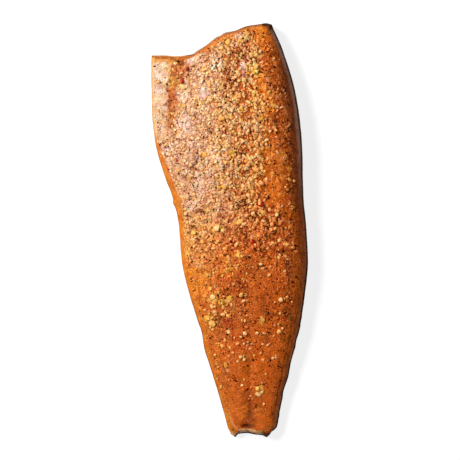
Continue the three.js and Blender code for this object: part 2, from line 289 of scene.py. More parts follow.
def edge_profile(c, reach, undercut, bulge):
    turn = 0.3
    low = np.pi / 2 * (1 - c / turn)
    high = np.pi / 2 * (1 - (c - turn) / (1 - turn))
    inset = np.where(c < turn, undercut * (1 - np.cos(low)), reach * (1 - np.sin(high)))
    share = np.where(c < turn, bulge * (1 - np.sin(low)), bulge + (1 - bulge) * np.cos(high))
    return inset, share


def place(a, b, c, peek=0.0):
    """a, b, c run across, along and up; peek pulls the ends in behind the skin's edge."""
    nominal = lerp(-214, 208, b)
    in_a, up_a = edge_profile(c, belly_round(nominal), BELLY_UNDERCUT, BELLY_BULGE_AT)
    in_b, up_b = edge_profile(c, back_round(nominal), BACK_UNDERCUT, BACK_BULGE_AT)
    span = back_edge(nominal) - belly_edge(nominal)
    u = lerp(in_a, span - in_b, a) / span
    share = lerp(up_a, up_b, a)
    lean = share ** 1.3
    tail = tail_cut(u) + peek + (TAIL_CUT_LEAN - peek) * lean
    head = head_cut(u) - peek - (HEAD_CUT_LEAN - peek) * lean
    y = lerp(tail, head, b)
    x = lerp(belly_edge(y) + in_a, back_edge(y) - in_b, a)
    return np.stack([x, y, share * top(x, y)], axis=-1)


def across(w):
    """Position w round a cross-section, 0 left foot, 1 left shoulder, 2 right shoulder, 3 right foot, as (a, c)."""
    return np.clip(w - 1, 0, 1), np.where(w < 1, w, np.where(w > 2, 3 - w, 1.0))


def grid_normals(p):
    return unit(np.cross(np.gradient(p, axis=1), np.gradient(p, axis=0)))


def uneven(x, y):
    """How far the back edge and the head cut stray from their smooth lines: along x, along y."""
    near_back = smooth(14, 2, back_edge(y) - x)
    out = near_back * smooth(-55, -100, y) * (0.75 * fbm(y, y * 0, 12, 57, 3) + 0.6 * bell(y, -104, 5) + 0.6 * bell(y, -155, 5) - 0.6 * bell(y, -172, 6))
    px = 229.5 + x / PX
    u = np.clip((x - belly_edge(y)) / (back_edge(y) - belly_edge(y)), 0, 1)
    return out, -smooth(14, 2, head_cut(u) - y) * (1.1 * bell(px, 208, 7) + 1.5 * bell(px, 220.5, 2.6) + 0.5 * bell(px, 235, 6))


def even_grid(rows, cols):
    """Grid of w and b, closer on top than on the walls, and the way along the surface from the left shoulder."""
    b = np.linspace(0, 1, rows + 1)
    b = b - 0.010 * np.sin(2 * np.pi * b)
    w = np.linspace(0, 3, 1000)
    fine_w, fine_b = np.meshgrid(w, b)
    a, c = across(fine_w)
    p = place(a, fine_b, c, PEEK)
    step = np.linalg.norm(np.diff(p, axis=1), axis=-1)
    dense = 0.62 + 0.38 * smooth(0.85, 1.0, (w[1:] + w[:-1]) / 2) * smooth(2.35, 2.15, (w[1:] + w[:-1]) / 2)
    zero = np.zeros((rows + 1, 1))
    arc = np.concatenate([zero, np.cumsum(step, axis=1)], axis=1)
    packed = np.concatenate([zero, np.cumsum(step * dense, axis=1)], axis=1)
    out, s = np.empty((rows + 1, cols + 1)), np.empty((rows + 1, cols + 1))
    for r in range(rows + 1):
        q = np.linspace(0, packed[r, -1], cols + 1)
        out[r] = np.interp(q, packed[r], w)
        s[r] = np.interp(q, packed[r], arc[r]) - np.interp(1.0, w, arc[r])
    return out, np.repeat(b[:, None], cols + 1, axis=1), s


# ------------------------------------------------------------ palette
AMBER = srgb(226, 124, 42)       # glazed flesh of the head half
ORANGE = srgb(204, 94, 22)       # glazed flesh of the tail half
GLAZE = srgb(234, 134, 34)       # thin bright flesh along the belly
RUSSET = srgb(160, 72, 16)       # towards the back
BACK = srgb(136, 68, 32)         # along the back
FROSTED_AND_SHEEN = srgb(242, 190, 152)    # pale seasoning under the glaze, lightened further as painted sheen
FAT = srgb(172, 126, 106)         # the line between flesh and skin
BURGUNDY = srgb(64, 16, 8)
SALMON = srgb(232, 138, 80)
CREAM = srgb(252, 214, 152)
PINK = srgb(250, 214, 192)
PEACH = srgb(252, 198, 146)
TAN = srgb(236, 182, 106)
RUST = srgb(168, 78, 28)
YELLOW = srgb(236, 184, 84)
DARK = srgb(26, 14, 8)

# ------------------------------------------------------------ base grid and its zones
w, b, s = even_grid(ROWS, COLS)
a, c = across(w)
P0 = place(a, b, c, PEEK)
N0 = grid_normals(P0)
X, Y = P0[..., 0], P0[..., 1]
WIDTH = back_edge(Y) - belly_edge(Y)
U = (X - belly_edge(Y)) / WIDTH
SX = s + belly_edge(Y) + belly_round(Y)        # along the surface, about X on the top
from_left, from_right = X - belly_edge(Y), back_edge(Y) - X
from_head = (head_cut(U) - HEAD_CUT_LEAN) - Y
from_tail = Y - (tail_cut(U) + TAIL_CUT_LEAN)
left_wall, right_wall = smooth(1.0, 0.7, w), smooth(2.0, 2.3, w)
on_top = (1 - left_wall) * (1 - right_wall)
SEE = (CAMERA_HEIGHT - P0[..., 2]) / CAMERA_HEIGHT
PXX, PYY = 229.5 + X / PX / SEE, 230 - Y / PX / SEE


def patches(spots):
    """Soft round fields at the places given, 0 to 1."""
    wx, wy = PXX + 4.0 * fbm(X, Y, 8, 12, 3), PYY + 4.0 * fbm(X, Y, 8, 13, 3)
    out = np.zeros(X.shape)
    for px, py, rx, ry, k in spots:
        d = np.hypot((wx - px) / rx, (wy - py) / ry)
        out = np.maximum(out, k * smooth(1.35, 0.55, d))
    return out


bare, frost_and_sheen = patches(BARE), patches(FROST_AND_SHEEN)
golden, browned, reddened, cluster = patches(GOLDEN), patches(BROWNED), patches(REDDENED), patches(CLUSTERS)
flap_zone = smooth(92, 112, Y)
strip_w = line([(140, 3.5), (155, 6.5), (180, 7.5), (205, 8.5), (230, 5.5), (300, 4.5), (430, 4.0)])(PYY)
clean_left = smooth(strip_w + 1.5, strip_w - 1.5, from_left + 3.0 * fbm(X, Y, 9, 21, 4)) * (1 - flap_zone)
valley_at = line([(55, 178), (62, 178.5), (70, 178.5), (80, 176), (87, 173.2), (93, 171.5), (128, 171), (136, 172)])(PYY)
valley_half = line([(55, 8.5), (62, 9), (70, 11), (80, 8.4), (87, 6.4), (93, 4.9), (120, 4.6), (130, 4.4)])(PYY)
valley = flap_zone * np.exp(-np.abs((PXX - valley_at + 4.2 * fbm(X, Y, 9, 22, 3) + 2.6 * fbm(X, Y, 3.6, 40, 2)) / valley_half) ** 4)
rim_w = line([(153, 2.9), (172, 3.6), (183, 2.4), (190, 0.4), (200, 1.2), (205, 4.2), (216, 5.0), (224, 3.0), (236, 1.8), (250, 2.6), (262, 6.0)])(PXX)
clean_head = smooth(rim_w + 1.4, rim_w - 1.2, from_head + 2.6 * fbm(X, Y, 6, 23, 4))
clean_tail = smooth(34, 8, from_tail + 7 * fbm(X, Y, 12, 24, 2))
flap_body = flap_zone * smooth(0.5, -3.0, X - flap_valley(Y) + 3.6 * fbm(X, Y, 9, 25, 3) + 2.4 * fbm(X, Y, 3.6, 30, 2)) * (1 - valley)

thick = 1.0 - 0.38 * smooth(255, 320, PYY) - 0.30 * smooth(330, 385, PYY) - 0.24 * smooth(385, 415, PYY)
crust_ends = line([(30, 0.80), (60, 0.83), (76, 0.735), (88, 0.74), (98, 0.775), (120, 0.755), (140, 0.75), (160, 0.735), (180, 0.69), (200, 0.66),
                   (212, 0.80), (235, 0.84), (260, 0.87), (440, 0.88)])(PYY)
thin_band = smooth(-0.025, 0.03, U - crust_ends + 0.03 * fbm(SX, Y, 10, 17, 3))
thick = thick - 0.62 * thin_band - 0.22 * smooth(0.88, 0.95, U)
thick = thick + 0.26 * fbm(SX, Y, 24, 11, 2) + 0.10 * fbm(SX, Y, 8, 14, 2)
K = np.clip(thick - 0.55 * bare + 0.35 * frost_and_sheen + 0.35 * cluster, 0, 1.1)
K = K * on_top * (1 - clean_left) * (1 - 0.9 * clean_head) * (1 - 0.35 * valley) * (1 - 0.8 * flap_body) * (1 - 0.5 * clean_tail)
K = np.clip(K, 0, 1)
# how pale the top is: paler seasoning towards the head and the belly, lightened there by painted sheen of the glaze;
# glazed orange elsewhere
pale = smooth(262, 165, PYY) * lerp(1.08, 0.20, smooth(0.26, 0.72, U)) + 0.50 * smooth(285, 248, PYY) * smooth(0.44, 0.20, U) * smooth(160, 225, PYY)
pale = np.clip(pale + 0.24 * fbm(SX, Y, 17, 15, 3) * smooth(330, 200, PYY) + 0.45 * frost_and_sheen - 0.55 * bare - 0.35 * thin_band - 0.3 * browned, 0.02, 1.1)

# ------------------------------------------------------------ seasoning, packed grain by grain
area = np.linalg.norm(np.cross(P0[1:, :-1] - P0[:-1, :-1], P0[:-1, 1:] - P0[:-1, :-1]), axis=-1)


def mean4(v):
    return (v[1:, 1:] + v[:-1, 1:] + v[1:, :-1] + v[:-1, :-1]) / 4


class Places:
    """Random places on the flesh, as many for each square millimetre as density says."""

    def __init__(self, count, density, seed):
        self.rng = np.random.default_rng(seed)
        p = (area * np.clip(mean4(density), 0, None)).ravel()
        pick = self.rng.choice(p.size, size=count, p=p / p.sum())
        self.i, self.j = np.unravel_index(pick, area.shape)
        self.fu, self.fv = self.rng.random(count), self.rng.random(count)

    def keep(self, which):
        for key in ("i", "j", "fu", "fv"):
            setattr(self, key, getattr(self, key)[which])

    def at(self, g):
        fu, fv = (self.fu[:, None], self.fv[:, None]) if g.ndim == 3 else (self.fu, self.fv)
        i, j = self.i, self.j
        return (1 - fu) * ((1 - fv) * g[i, j] + fv * g[i + 1, j]) + fu * ((1 - fv) * g[i, j + 1] + fv * g[i + 1, j + 1])

    def __len__(self):
        return len(self.i)


def pack(places, radius, close=0.80):
    """Indices of grains that lie side by side, the largest placed first."""
    gx, gy = places.at(SX), places.at(Y)
    size, taken, kept = 3.2, {}, []
    for q in np.argsort(-radius, kind="stable"):
        x_, y_, r_ = gx[q], gy[q], radius[q]
        ci, cj = int(x_ // size), int(y_ // size)
        free = True
        for di in (-1, 0, 1):
            for dj in (-1, 0, 1):
                for (x2, y2, r2) in taken.get((ci + di, cj + dj), ()):
                    if (x_ - x2) ** 2 + (y_ - y2) ** 2 < (close * (r_ + r2)) ** 2:
                        free = False
                        break
                if not free:
                    break
            if not free:
                break
        if free:
            taken.setdefault((ci, cj), []).append((x_, y_, r_))
            kept.append(q)
    return np.array(kept)


zone = lerp(0.22, 0.75, smooth(0.20, 0.44, U)) * lerp(0.34, 1.0, smooth(330, 225, PYY)) * (1 + 1.3 * golden + 0.8 * browned + 3.0 * cluster) * (1 - 0.6 * frost_and_sheen) * (1 - 0.4 * valley)
grains = Places(2050, K ** 1.2 * zone * np.clip(0.30 + 2.0 * fbm(SX, Y, 11, 16, 3), 0.03, 2), 201)
gr = 0.55 + 1.25 * grains.rng.random(len(grains)) ** 2.2
order = pack(grains, gr, 0.9)
grains.keep(order)
gr = gr[order]

# glaze swells over the larger grains: bumps of the flesh surface itself
swell = np.zeros(X.shape)
gs, gy_, g_r = grains.at(SX), grains.at(Y), gr
for di in range(-2, 4):
    for dj in range(-2, 4):
        ii, jj = grains.i + di, grains.j + dj
        ok = (ii >= 0) & (ii <= ROWS) & (jj >= 0) & (jj <= COLS)
        d2 = (SX[ii[ok], jj[ok]] - gs[ok]) ** 2 + (Y[ii[ok], jj[ok]] - gy_[ok]) ** 2
        h = 0.30 * g_r[ok] * np.exp(-d2 / (1.2 * g_r[ok]) ** 2)
        np.maximum.at(swell, (ii[ok], jj[ok]), h)

# lumps of the seasoning under the glaze
ALONG, ACROSS = 0.64 * SX + 0.77 * Y, 0.77 * SX - 0.64 * Y
loose = smooth(0.50, 0.68, U + 0.05 * fbm(SX, Y, 14, 18, 2)) * smooth(44, 62, PYY) * smooth(245, 205, PYY)
sparse = smooth(0.08, 0.50, fbm(ALONG, 1.3 * ACROSS, 12, 76, 3) - 0.3 * cluster - 0.2 * golden)
lump1, l1a, l1b = caps(SX + 0.25 * Y, 0.76 * Y, 4.6, 301, 0.84 - 0.26 * loose - 0.34 * sparse, 0.32, 0.64)
lump2, l2a, l2b = caps(SX + 0.25 * Y, 0.8 * Y, 2.9, 302, 0.77 - 0.34 * loose - 0.30 * sparse, 0.36, 0.62)
lumpy = np.clip(0.35 + 0.65 * K, 0, 1) * on_top * (1 - clean_left) * (1 - 0.85 * clean_head) * (1 - 0.15 * bare) * (1 - 0.5 * flap_body) * (1 - 0.22 * smooth(0.5, 0.9, pale) * smooth(0.42, 0.30, U)) * (1 - 0.60 * smooth(232, 268, PYY) * smooth(0.25, 0.4, U)) * (1 - 0.45 * smooth(280, 325, PYY))

# ------------------------------------------------------------ relief of the flesh, mm along its normal
relief = 0.34 * fbm(SX, Y, 19, 1, 3) + 0.22 * fbm(SX, Y, 7.5, 2, 3)
relief = relief * (1 - 0.5 * clean_left)
lower = smooth(230, 330, PYY)
relief = relief + lumpy * (1 - 0.5 * lower) * (1.4 * lump1 + 0.8 * lump2) + K * 0.2 + 0.6 * swell + (0.07 + 0.08 * smooth(0.5, 0.9, pale) * smooth(0.50, 0.36, U)) * fbm(SX, Y, 2.4, 7, 2) * on_top

relief = relief + 1.3 * flap_zone * bell(X + 3.0 * fbm(X, Y, 9, 22, 3) + 2.0 * fbm(X, Y, 3.6, 40, 2), flap_valley(Y), FLAP_VALLEY_WIDTH) * on_top      # seasoning fills the valley of the flap
ridge = 1 - 2 * np.abs(fbm(ALONG / 3.2, ACROSS, 3.4, 404, 2))
relief = relief + 0.30 * K * np.clip(ridge, -0.5, 1) * (1 - 0.6 * smooth(225, 280, PYY))

# furrow beside the back edge of the tail half
crease = bell(U + 0.012 * fbm(Y, Y * 0, 23, 31, 3), 0.918, 1.2 / WIDTH) * smooth(-80, -112, Y) * smooth(-207, -192, Y) * np.clip(0.55 + 1.1 * fbm(Y, Y * 0, 12, 58, 3), 0.1, 1)
relief = relief - 0.9 * crease
# a narrow line inside the broad valley of the midline
lobe = (U - midline(Y)) * WIDTH
mid = bell(lobe + 2.6 * fbm(Y, Y * 0, 26, 32, 4), 0, 1.9) * smooth(-110, -150, Y) * on_top * np.clip(0.6 + 0.9 * fbm(Y, Y * 0, 14, 35, 2), 0, 1)
relief = relief - 0.40 * mid
# muscle flakes: shallow chevrons on both lobes of the tail
chev = np.sin(2 * np.pi * (Y + 0.55 * np.abs(lobe) + 1.1 * fbm(SX, Y, 15, 33, 3)) / 6.2)
flakes_on = on_top * (smooth(-150, -190, Y) + 0.2)
relief = relief + 0.07 * flakes_on * (np.abs(chev) ** 0.9 * np.sign(chev))


def crack(px0, py0, px1, py1, width, depth, wobble, seed):
    """A short crack between two places; returns how deep it is at each point."""
    (x0, y0), (x1, y1) = at_px(px0, py0), at_px(px1, py1)
    dx, dy = x1 - x0, y1 - y0
    n = math.hypot(dx, dy)
    xx, yy = X / SEE, Y / SEE
    t = ((xx - x0) * dx + (yy - y0) * dy) / n ** 2
    off = ((xx - x0) * dy - (yy - y0) * dx) / n + wobble * fbm(X, Y, 6, seed, 2)
    return depth * np.exp(-(off / width) ** 2) * smooth(-0.12, 0.12, t) * smooth(1.12, 0.88, t) * on_top


cracks = (crack(190, 170, 198, 161, 1.0, 1.3, 2.4, 41) + crack(183, 214, 190, 222, 1.0, 1.1, 1.0, 42)
          + crack(186, 211, 196, 224, 0.7, 0.7, 1.0, 43) + crack(176, 61, 183, 66, 1.3, 0.8, 1.6, 44)
          + crack(184, 178, 192, 171, 0.7, 0.8, 1.2, 45) + crack(198, 150, 199, 160, 0.6, 0.7, 1.0, 46)
          + crack(300, 232, 303, 220, 0.7, 0.6, 1.0, 47))
relief = relief - cracks
# fine wrinkles in the thin flesh of the belly side, running up to the right
wrinkle = np.sin(2 * np.pi * (0.5 * SX - 0.85 * Y + 3.0 * fbm(SX, Y, 16, 34, 3)) / 4.6)
relief = relief + 0.10 * wrinkle * smooth(0.42, 0.15, U) * smooth(-80, 20, Y) * (1 - flap_zone) * on_top

# the flesh lies inside the skin on the lower walls
lip = SKIN_LIP + 0.030 * fbm(Y, Y * 0, 34, 51, 3) + 0.012 * fbm(Y, Y * 0, 7, 52, 2) - line([(-220, 0.05), (-150, 0.02), (0, 0.0)])(Y)
under = smooth(lip - 0.08, lip + 0.03, w)
relief = relief - 0.85 * under - 0.7 * smooth(0.22, 0.10, w)
P = P0 + N0 * relief[..., None]
# the rims of the cuts are a little rounded
P[..., 2] -= 1.1 * smooth(4.5, 0.0, from_head) * on_top + 0.9 * smooth(4.0, 0.0, from_tail) * on_top
# small unevenness of the outline
P[..., 0] -= left_wall * (0.35 * fbm(Y, Y * 0, 11, 53, 3) + 1.2 * bell(Y, 28.5, 3.2) + 0.5 * bell(Y, -127, 8))
P[..., 2] = np.maximum(P[..., 2], 0.45)
shift_x, shift_y = uneven(X, Y)
P[..., 0] += shift_x
P[..., 1] += shift_y
P[..., 1] += (0.5 * fbm(X, X * 0, 8, 54, 3) + 1.7 * bell(PXX, 154.5, 2.0)) * smooth(5, 0, from_head) - 0.5 * fbm(X, X * 0, 6, 55, 3) * smooth(5, 0, from_tail)

# ------------------------------------------------------------ colours of the flesh
mid_n, small = fbm(SX, Y, 9, 62, 3), fbm(SX, Y, 2.6, 63, 2)
broad, hue = fbm(SX, Y, 38, 61, 3), fbm(SX, Y, 6.5, 66, 3)
upper = smooth(268, 176, PYY)
tone = mix(np.broadcast_to(ORANGE, P.shape), AMBER, upper)
tone = mix(tone, GLAZE, 0.8 * smooth(0.36, 0.06, U) * smooth(345, 270, PYY) * (1 - 0.3 * upper) + 0.35 * smooth(0.3, 0.0, U))
tone = mix(tone, RUSSET, 0.10 + 0.75 * mid_n + 0.45 * broad)
tone = mix(tone, RUSSET, 0.8 * np.clip(fbm(SX, Y, 3.6, 68, 3) - 0.05, 0, 1) * smooth(0.0, 0.3, U))
UB = U - 0.055 * smooth(84, 44, PYY)
tone = mix(tone, RUSSET, 0.9 * smooth(0.78, 0.88, UB))
streak = 0.6 * fbm(SX * 1.8, Y * 0.5, 4.0, 69, 3) + 0.6 * fbm(SX, Y * 0.7, 5.0, 74, 3)
tone = mix(tone, mix(np.broadcast_to(BACK, P.shape), srgb(166, 80, 26), np.maximum(smooth(190, 240, PYY), 0.8 * smooth(70, 40, PYY))), 0.9 * smooth(0.87, 0.95, UB))
tone = mix(tone, srgb(84, 34, 10), 0.9 * np.clip(0.15 + 1.3 * streak, 0, 1) * smooth(0.86, 0.92, UB))
tone = mix(tone, srgb(176, 96, 50), 0.6 * np.clip(-0.1 - 1.3 * streak, 0, 1) * smooth(0.84, 0.90, UB))
# paler towards the head and the belly: partly the seasoning's own colour, partly painted sheen
frosted_and_sheen = np.clip(pale * on_top * np.clip(0.35 + K, 0, 1), 0, 1)
tone = mix(tone, mix(np.broadcast_to(FROSTED_AND_SHEEN, P.shape), srgb(240, 174, 106), np.maximum(smooth(175, 240, PYY), 0.75 * smooth(0.30, 0.62, U))), 0.80 * frosted_and_sheen)
# pinkish white over these patches: pale crust and painted sheen
tone = mix(tone, PINK, 0.75 * frost_and_sheen * on_top)
tone = mix(tone, srgb(228, 160, 58), 0.70 * golden * on_top)
tone = mix(tone, srgb(226, 118, 36), 0.50 * loose * smooth(0.84, 0.74, UB) * on_top)
tone = mix(tone, srgb(236, 132, 40), 0.75 * bell(U, 0.71, 0.09) * smooth(215, 170, PYY) * on_top)
tone = mix(tone, srgb(142, 56, 14), 0.40 * bell(PXX, 229, 20) * bell(PYY, 317, 15) * on_top)
tone = mix(tone, srgb(226, 118, 38), 0.35 * bell(PXX, 232, 24) * bell(PYY, 266, 16) * on_top)
tone = mix(tone, srgb(222, 152, 52), 0.5 * np.clip(hue - 0.1, 0, 1) * on_top * smooth(0.8, 0.6, U) * smooth(330, 260, PYY))
tone = mix(tone, srgb(112, 50, 18), 0.72 * browned * on_top + 0.7 * np.clip(-hue - 0.25, 0, 1) * on_top * (1 - 0.5 * frosted_and_sheen))
tone = mix(tone, srgb(176, 44, 10), 0.65 * reddened * on_top)
tone = mix(tone, srgb(232, 132, 40), 0.55 * smooth(58, 34, PYY) * smooth(250, 256, PXX) * smooth(0.93, 0.86, UB))
mottle = fbm(SX, Y, 3.4, 70, 3)
fleck = fbm(SX, Y, 2.2, 71, 2)
tone = mix(tone, srgb(238, 144, 40), (1.0 * np.clip(mottle - 0.05, 0, 1) + 0.5 * np.clip(fleck - 0.1, 0, 1)) * np.maximum(thin_band, 0.5 * bare) * smooth(0.94, 0.86, UB))
tone = mix(tone, srgb(126, 40, 4), (0.9 * np.clip(-mottle - 0.10, 0, 1) + 1.0 * np.clip(-fleck - 0.15, 0, 1)) * np.maximum(thin_band, 0.4))
tone = mix(tone, tone * np.array([1.06, 0.96, 0.70]), thin_band * (1 - smooth(0.88, 0.94, UB)))
tone = mix(tone, srgb(182, 98, 24), 0.75 * smooth(0.05, 0.45, fbm(SX, Y * 0.6, 6.0, 75, 3)) * smooth(0.84, 0.92, UB) * smooth(250, 310, PYY))
# clumps of one shade, drawn out up to the right
gold_clump = smooth(0.10, 0.50, fbm(ALONG, 1.5 * ACROSS, 10, 401, 3) + 0.25 * golden) * on_top
pink_clump = smooth(0.14, 0.55, fbm(ALONG, 1.5 * ACROSS, 9, 402, 3) + 0.20 * frosted_and_sheen - 0.08) * on_top
rust_clump = smooth(0.16, 0.55, fbm(ALONG, 1.5 * ACROSS, 9, 403, 3) + 0.30 * browned) * on_top
tone = mix(tone, srgb(214, 130, 40), 0.55 * gold_clump * (0.25 + 0.75 * upper))
tone = mix(tone, srgb(176, 84, 26), 0.45 * rust_clump * (0.35 + 0.65 * upper))
# lumps are lighter than the glaze round them: each in its own seasoning shade, where it has none a lighter copy of the
# glaze as painted highlight; the dips between them get painted shade
col = tone
for lump, la, lb, much in ((lump1, l1a, l1b, 0.85), (lump2, l2a, l2b, 0.75)):
    own = np.where((la < 0.30)[..., None], CREAM, np.where((la < 0.58)[..., None], TAN, np.where((la < 0.85)[..., None], PEACH, SALMON)))
    own = mix(own, PEACH, 0.30 * frosted_and_sheen + 0.15)
    # painted sheen: lumps near white in the pale upper part
    own = mix(own, srgb(255, 226, 194), 0.45 * frosted_and_sheen * (lb > 0.35) * smooth(240, 190, PYY))
    own = mix(own, srgb(242, 186, 104), 0.50 * gold_clump * (1 - 0.6 * frosted_and_sheen * smooth(0.48, 0.36, U)))
    own = mix(own, PINK, 0.75 * pink_clump * upper)
    own = mix(own, srgb(196, 104, 42), 0.65 * rust_clump)
    own = mix(own, srgb(232, 140, 62), 0.85 * smooth(200, 262, PYY) * smooth(0.15, 0.35, U))
    own = mix(own, srgb(252, 200, 136), 0.35 * loose * smooth(0.84, 0.76, U))
    own = np.clip(own * (1 + (0.14 * smooth(0.3, 0.5, U) + 0.10 * loose) * upper)[..., None], 0, 0.97)
    rich = np.clip(0.08 + 0.72 * upper * (1 - 0.8 * thin_band) + 0.7 * smooth(0.74, 0.98, lb) * smooth(400, 250, PYY), 0, 0.95)
    # painted highlight: lump tops without a seasoning shade of their own are a lighter copy of the glaze
    own = mix(np.clip(tone * 1.30, 0, 0.97), own, rich)
    col = mix(col, own, much * smooth(0.12, 0.55, lump) * lumpy * smooth(0.97, 0.80, U))
top_of = smooth(0.05, 0.45, np.maximum(lump1, lump2))
col = mix(col, srgb(242, 192, 96), 0.60 * golden * top_of * on_top)
col = mix(col, srgb(232, 166, 78), 0.35 * cluster * top_of * on_top)
col = mix(col, srgb(112, 56, 30), 0.45 * browned * (1 - 0.6 * top_of) * on_top)
# lit keeps the colour without the painted shade of the dips
lit = col
# painted shade: darker and browner in the dips between the lumps
shaded_dip = smooth(0.42, 0.04, np.maximum(lump1, 0.8 * lump2)) * lumpy
col = mix(col, col * np.array([0.56, 0.27, 0.06]), (1.0 - 0.42 * frosted_and_sheen - 0.50 * smooth(222, 280, PYY)) * shaded_dip)
# painted shade round the feet of the larger grains
col = mix(col, col * np.array([0.56, 0.36, 0.18]), (0.70 - 0.30 * frosted_and_sheen) * smooth(0.05, 0.22, swell))
# brown threads in the pale glaze, running up to the right
thread = fbm(0.77 * SX + 0.64 * Y, (0.64 * SX - 0.77 * Y) * 4.5, 9.0, 67, 2)
col = mix(col, srgb(176, 104, 56), 0.9 * np.clip(thread - 0.18, 0, 0.5) * on_top * upper)
col = mix(col, tone * 1.25, 0.25 * np.clip(small, 0, 1))
# painted sheen: pinkish-white glaze reflection on the pale patches
col = mix(col, srgb(246, 216, 204), 0.50 * frost_and_sheen * on_top * (0.75 + 0.5 * small))
# clean bands
col = mix(col, mix(mix(np.broadcast_to(srgb(190, 94, 22), P.shape), srgb(216, 132, 46), 0.45 + 1.2 * mid_n), srgb(158, 70, 14), 1.6 * np.clip(mottle - 0.2, 0, 1)), 0.85 * clean_left)
rim_c = mix(mix(np.broadcast_to(srgb(236, 144, 52), P.shape), srgb(196, 92, 22), 0.3 + 1.8 * mottle), srgb(240, 168, 86), 1.2 * np.clip(hue, 0, 1))
rim_c = mix(rim_c, srgb(200, 98, 34), 0.6 * smooth(186, 196, PXX) * smooth(232, 220, PXX))
rim_c = mix(rim_c, srgb(240, 182, 104), 0.6 * smooth(188, 180, PXX))
col = mix(col, rim_c, 0.9 * clean_head * on_top)
col = mix(col, srgb(176, 112, 62), 0.65 * smooth(1.6, 0.4, from_head) * smooth(262, 254, PXX) * on_top)
filling = mix(mix(np.broadcast_to(srgb(204, 104, 24), P.shape), srgb(222, 152, 50), 0.12 + 1.8 * hue), srgb(132, 44, 10), 0.12 + 1.9 * mottle)
filling = mix(filling, srgb(236, 170, 110), 1.2 * fbm(X, Y, 4.2, 26, 2) - 0.25)
filling = mix(filling, srgb(204, 146, 62), 0.8 * golden)
filling = mix(filling, srgb(190, 70, 18), 0.5 * reddened)
# painted shade in the dips of the seasoning that fills the valley
col = mix(col, mix(filling, filling * np.array([0.55, 0.34, 0.2]), 0.8 * shaded_dip), 0.88 * valley * on_top)
# thin belly flap: pale, blotched, with a golden rim
flap_c = mix(mix(np.broadcast_to(srgb(238, 186, 134), P.shape), srgb(255, 226, 196), 0.5 + 1.6 * hue - 0.5 * smooth(96, 120, PYY)), srgb(196, 122, 66), 1.3 * np.clip(mid_n - 0.06, 0, 1))
flap_c = mix(flap_c, srgb(176, 96, 46), 1.4 * np.clip(mottle - 0.18, 0, 1))
flap_c = mix(flap_c, srgb(255, 240, 220), 0.8 * np.clip(fleck - 0.15, 0, 1))
col = mix(col, flap_c, 0.86 * flap_body * (1 - 0.8 * clean_head))
col = mix(col, mix(np.broadcast_to(srgb(222, 180, 96), P.shape), srgb(208, 152, 84), left_wall), 0.8 * flap_zone * smooth(3.6, 1.6, from_left + 1.2 * fbm(X, Y, 7, 27, 2)))
col = mix(col, srgb(226, 152, 66), 0.7 * flap_zone * smooth(178, 170, PXX) * clean_head * on_top)
lit = mix(lit, col * 1.08, np.clip(valley + flap_body + clean_left + clean_head, 0, 1))
to_gold = 1.4 * fbm(ALONG, 1.4 * ACROSS, 9, 411, 3) + 0.25 * golden - 0.3 * frost_and_sheen
to_red = 1.4 * fbm(ALONG, 1.4 * ACROSS, 7, 412, 3) + 0.3 * browned
drift = on_top * (0.45 + 0.55 * smooth(330, 230, PYY)) * (1 - 0.6 * clean_left)
warm = smooth(0.45, 0.65, U) * bell(PYY, 205, 40)
turned = np.stack([1 + 0 * X, 1 + drift * (0.09 * to_gold - 0.15 * to_red) - 0.05 * warm, 1 - drift * (0.30 * to_gold + 0.32 * to_red) - 0.20 * warm], axis=-1)
turned = np.clip(turned, 0.45, 1.7)
# pinker and paler in the upper left: partly the seasoning, partly painted sheen
rosy = np.clip(frosted_and_sheen * smooth(0.48, 0.36, U) * smooth(225, 185, PYY), 0, 1)[..., None]
turned = lerp(turned, turned ** 0.45 * np.array([1.045, 1.11, 1.22]), rosy)
for px, py, rx, ry, kept in WASHES:
    turned = turned * (np.array(kept) ** (bell(PXX, px, rx) * bell(PYY, py, ry) * on_top)[..., None])
col, lit = np.clip(col * turned, 0, 0.98), np.clip(lit * turned, 0, 0.98)
# brown fat above the skin of the back
grey = smooth(215, 120, PYY)
col = mix(col, FAT * (1 + 0.5 * streak[..., None]), (0.10 + 0.75 * grey) * smooth(6.4, 4.4, from_right + 1.4 * fbm(SX, Y, 12, 65, 3)) * smooth(1.5, 2.0, w))
col = mix(col, srgb(70, 30, 14), 0.7 * (1 - 0.6 * grey) * smooth(2.0, 1.0, from_right) * smooth(1.5, 2.0, w))
col = mix(col, srgb(138, 66, 20), 0.6 * smooth(1.9, 0.5, from_left) * smooth(285, 320, PYY) * smooth(1.5, 1.1, w))
# painted shade in the furrow, along the midline groove and in the cracks; then burgundy stains
col = mix(col, srgb(104, 40, 8), 0.7 * crease)
# painted shade along the midline groove of the tail
col = mix(col, srgb(122, 54, 16), np.clip(0.30 * mid + 0.50 * bell(lobe + 1.5 * fbm(X, Y, 9, 37, 2), 3.8, 3.6) * smooth(-165, -188, Y), 0, 0.85))
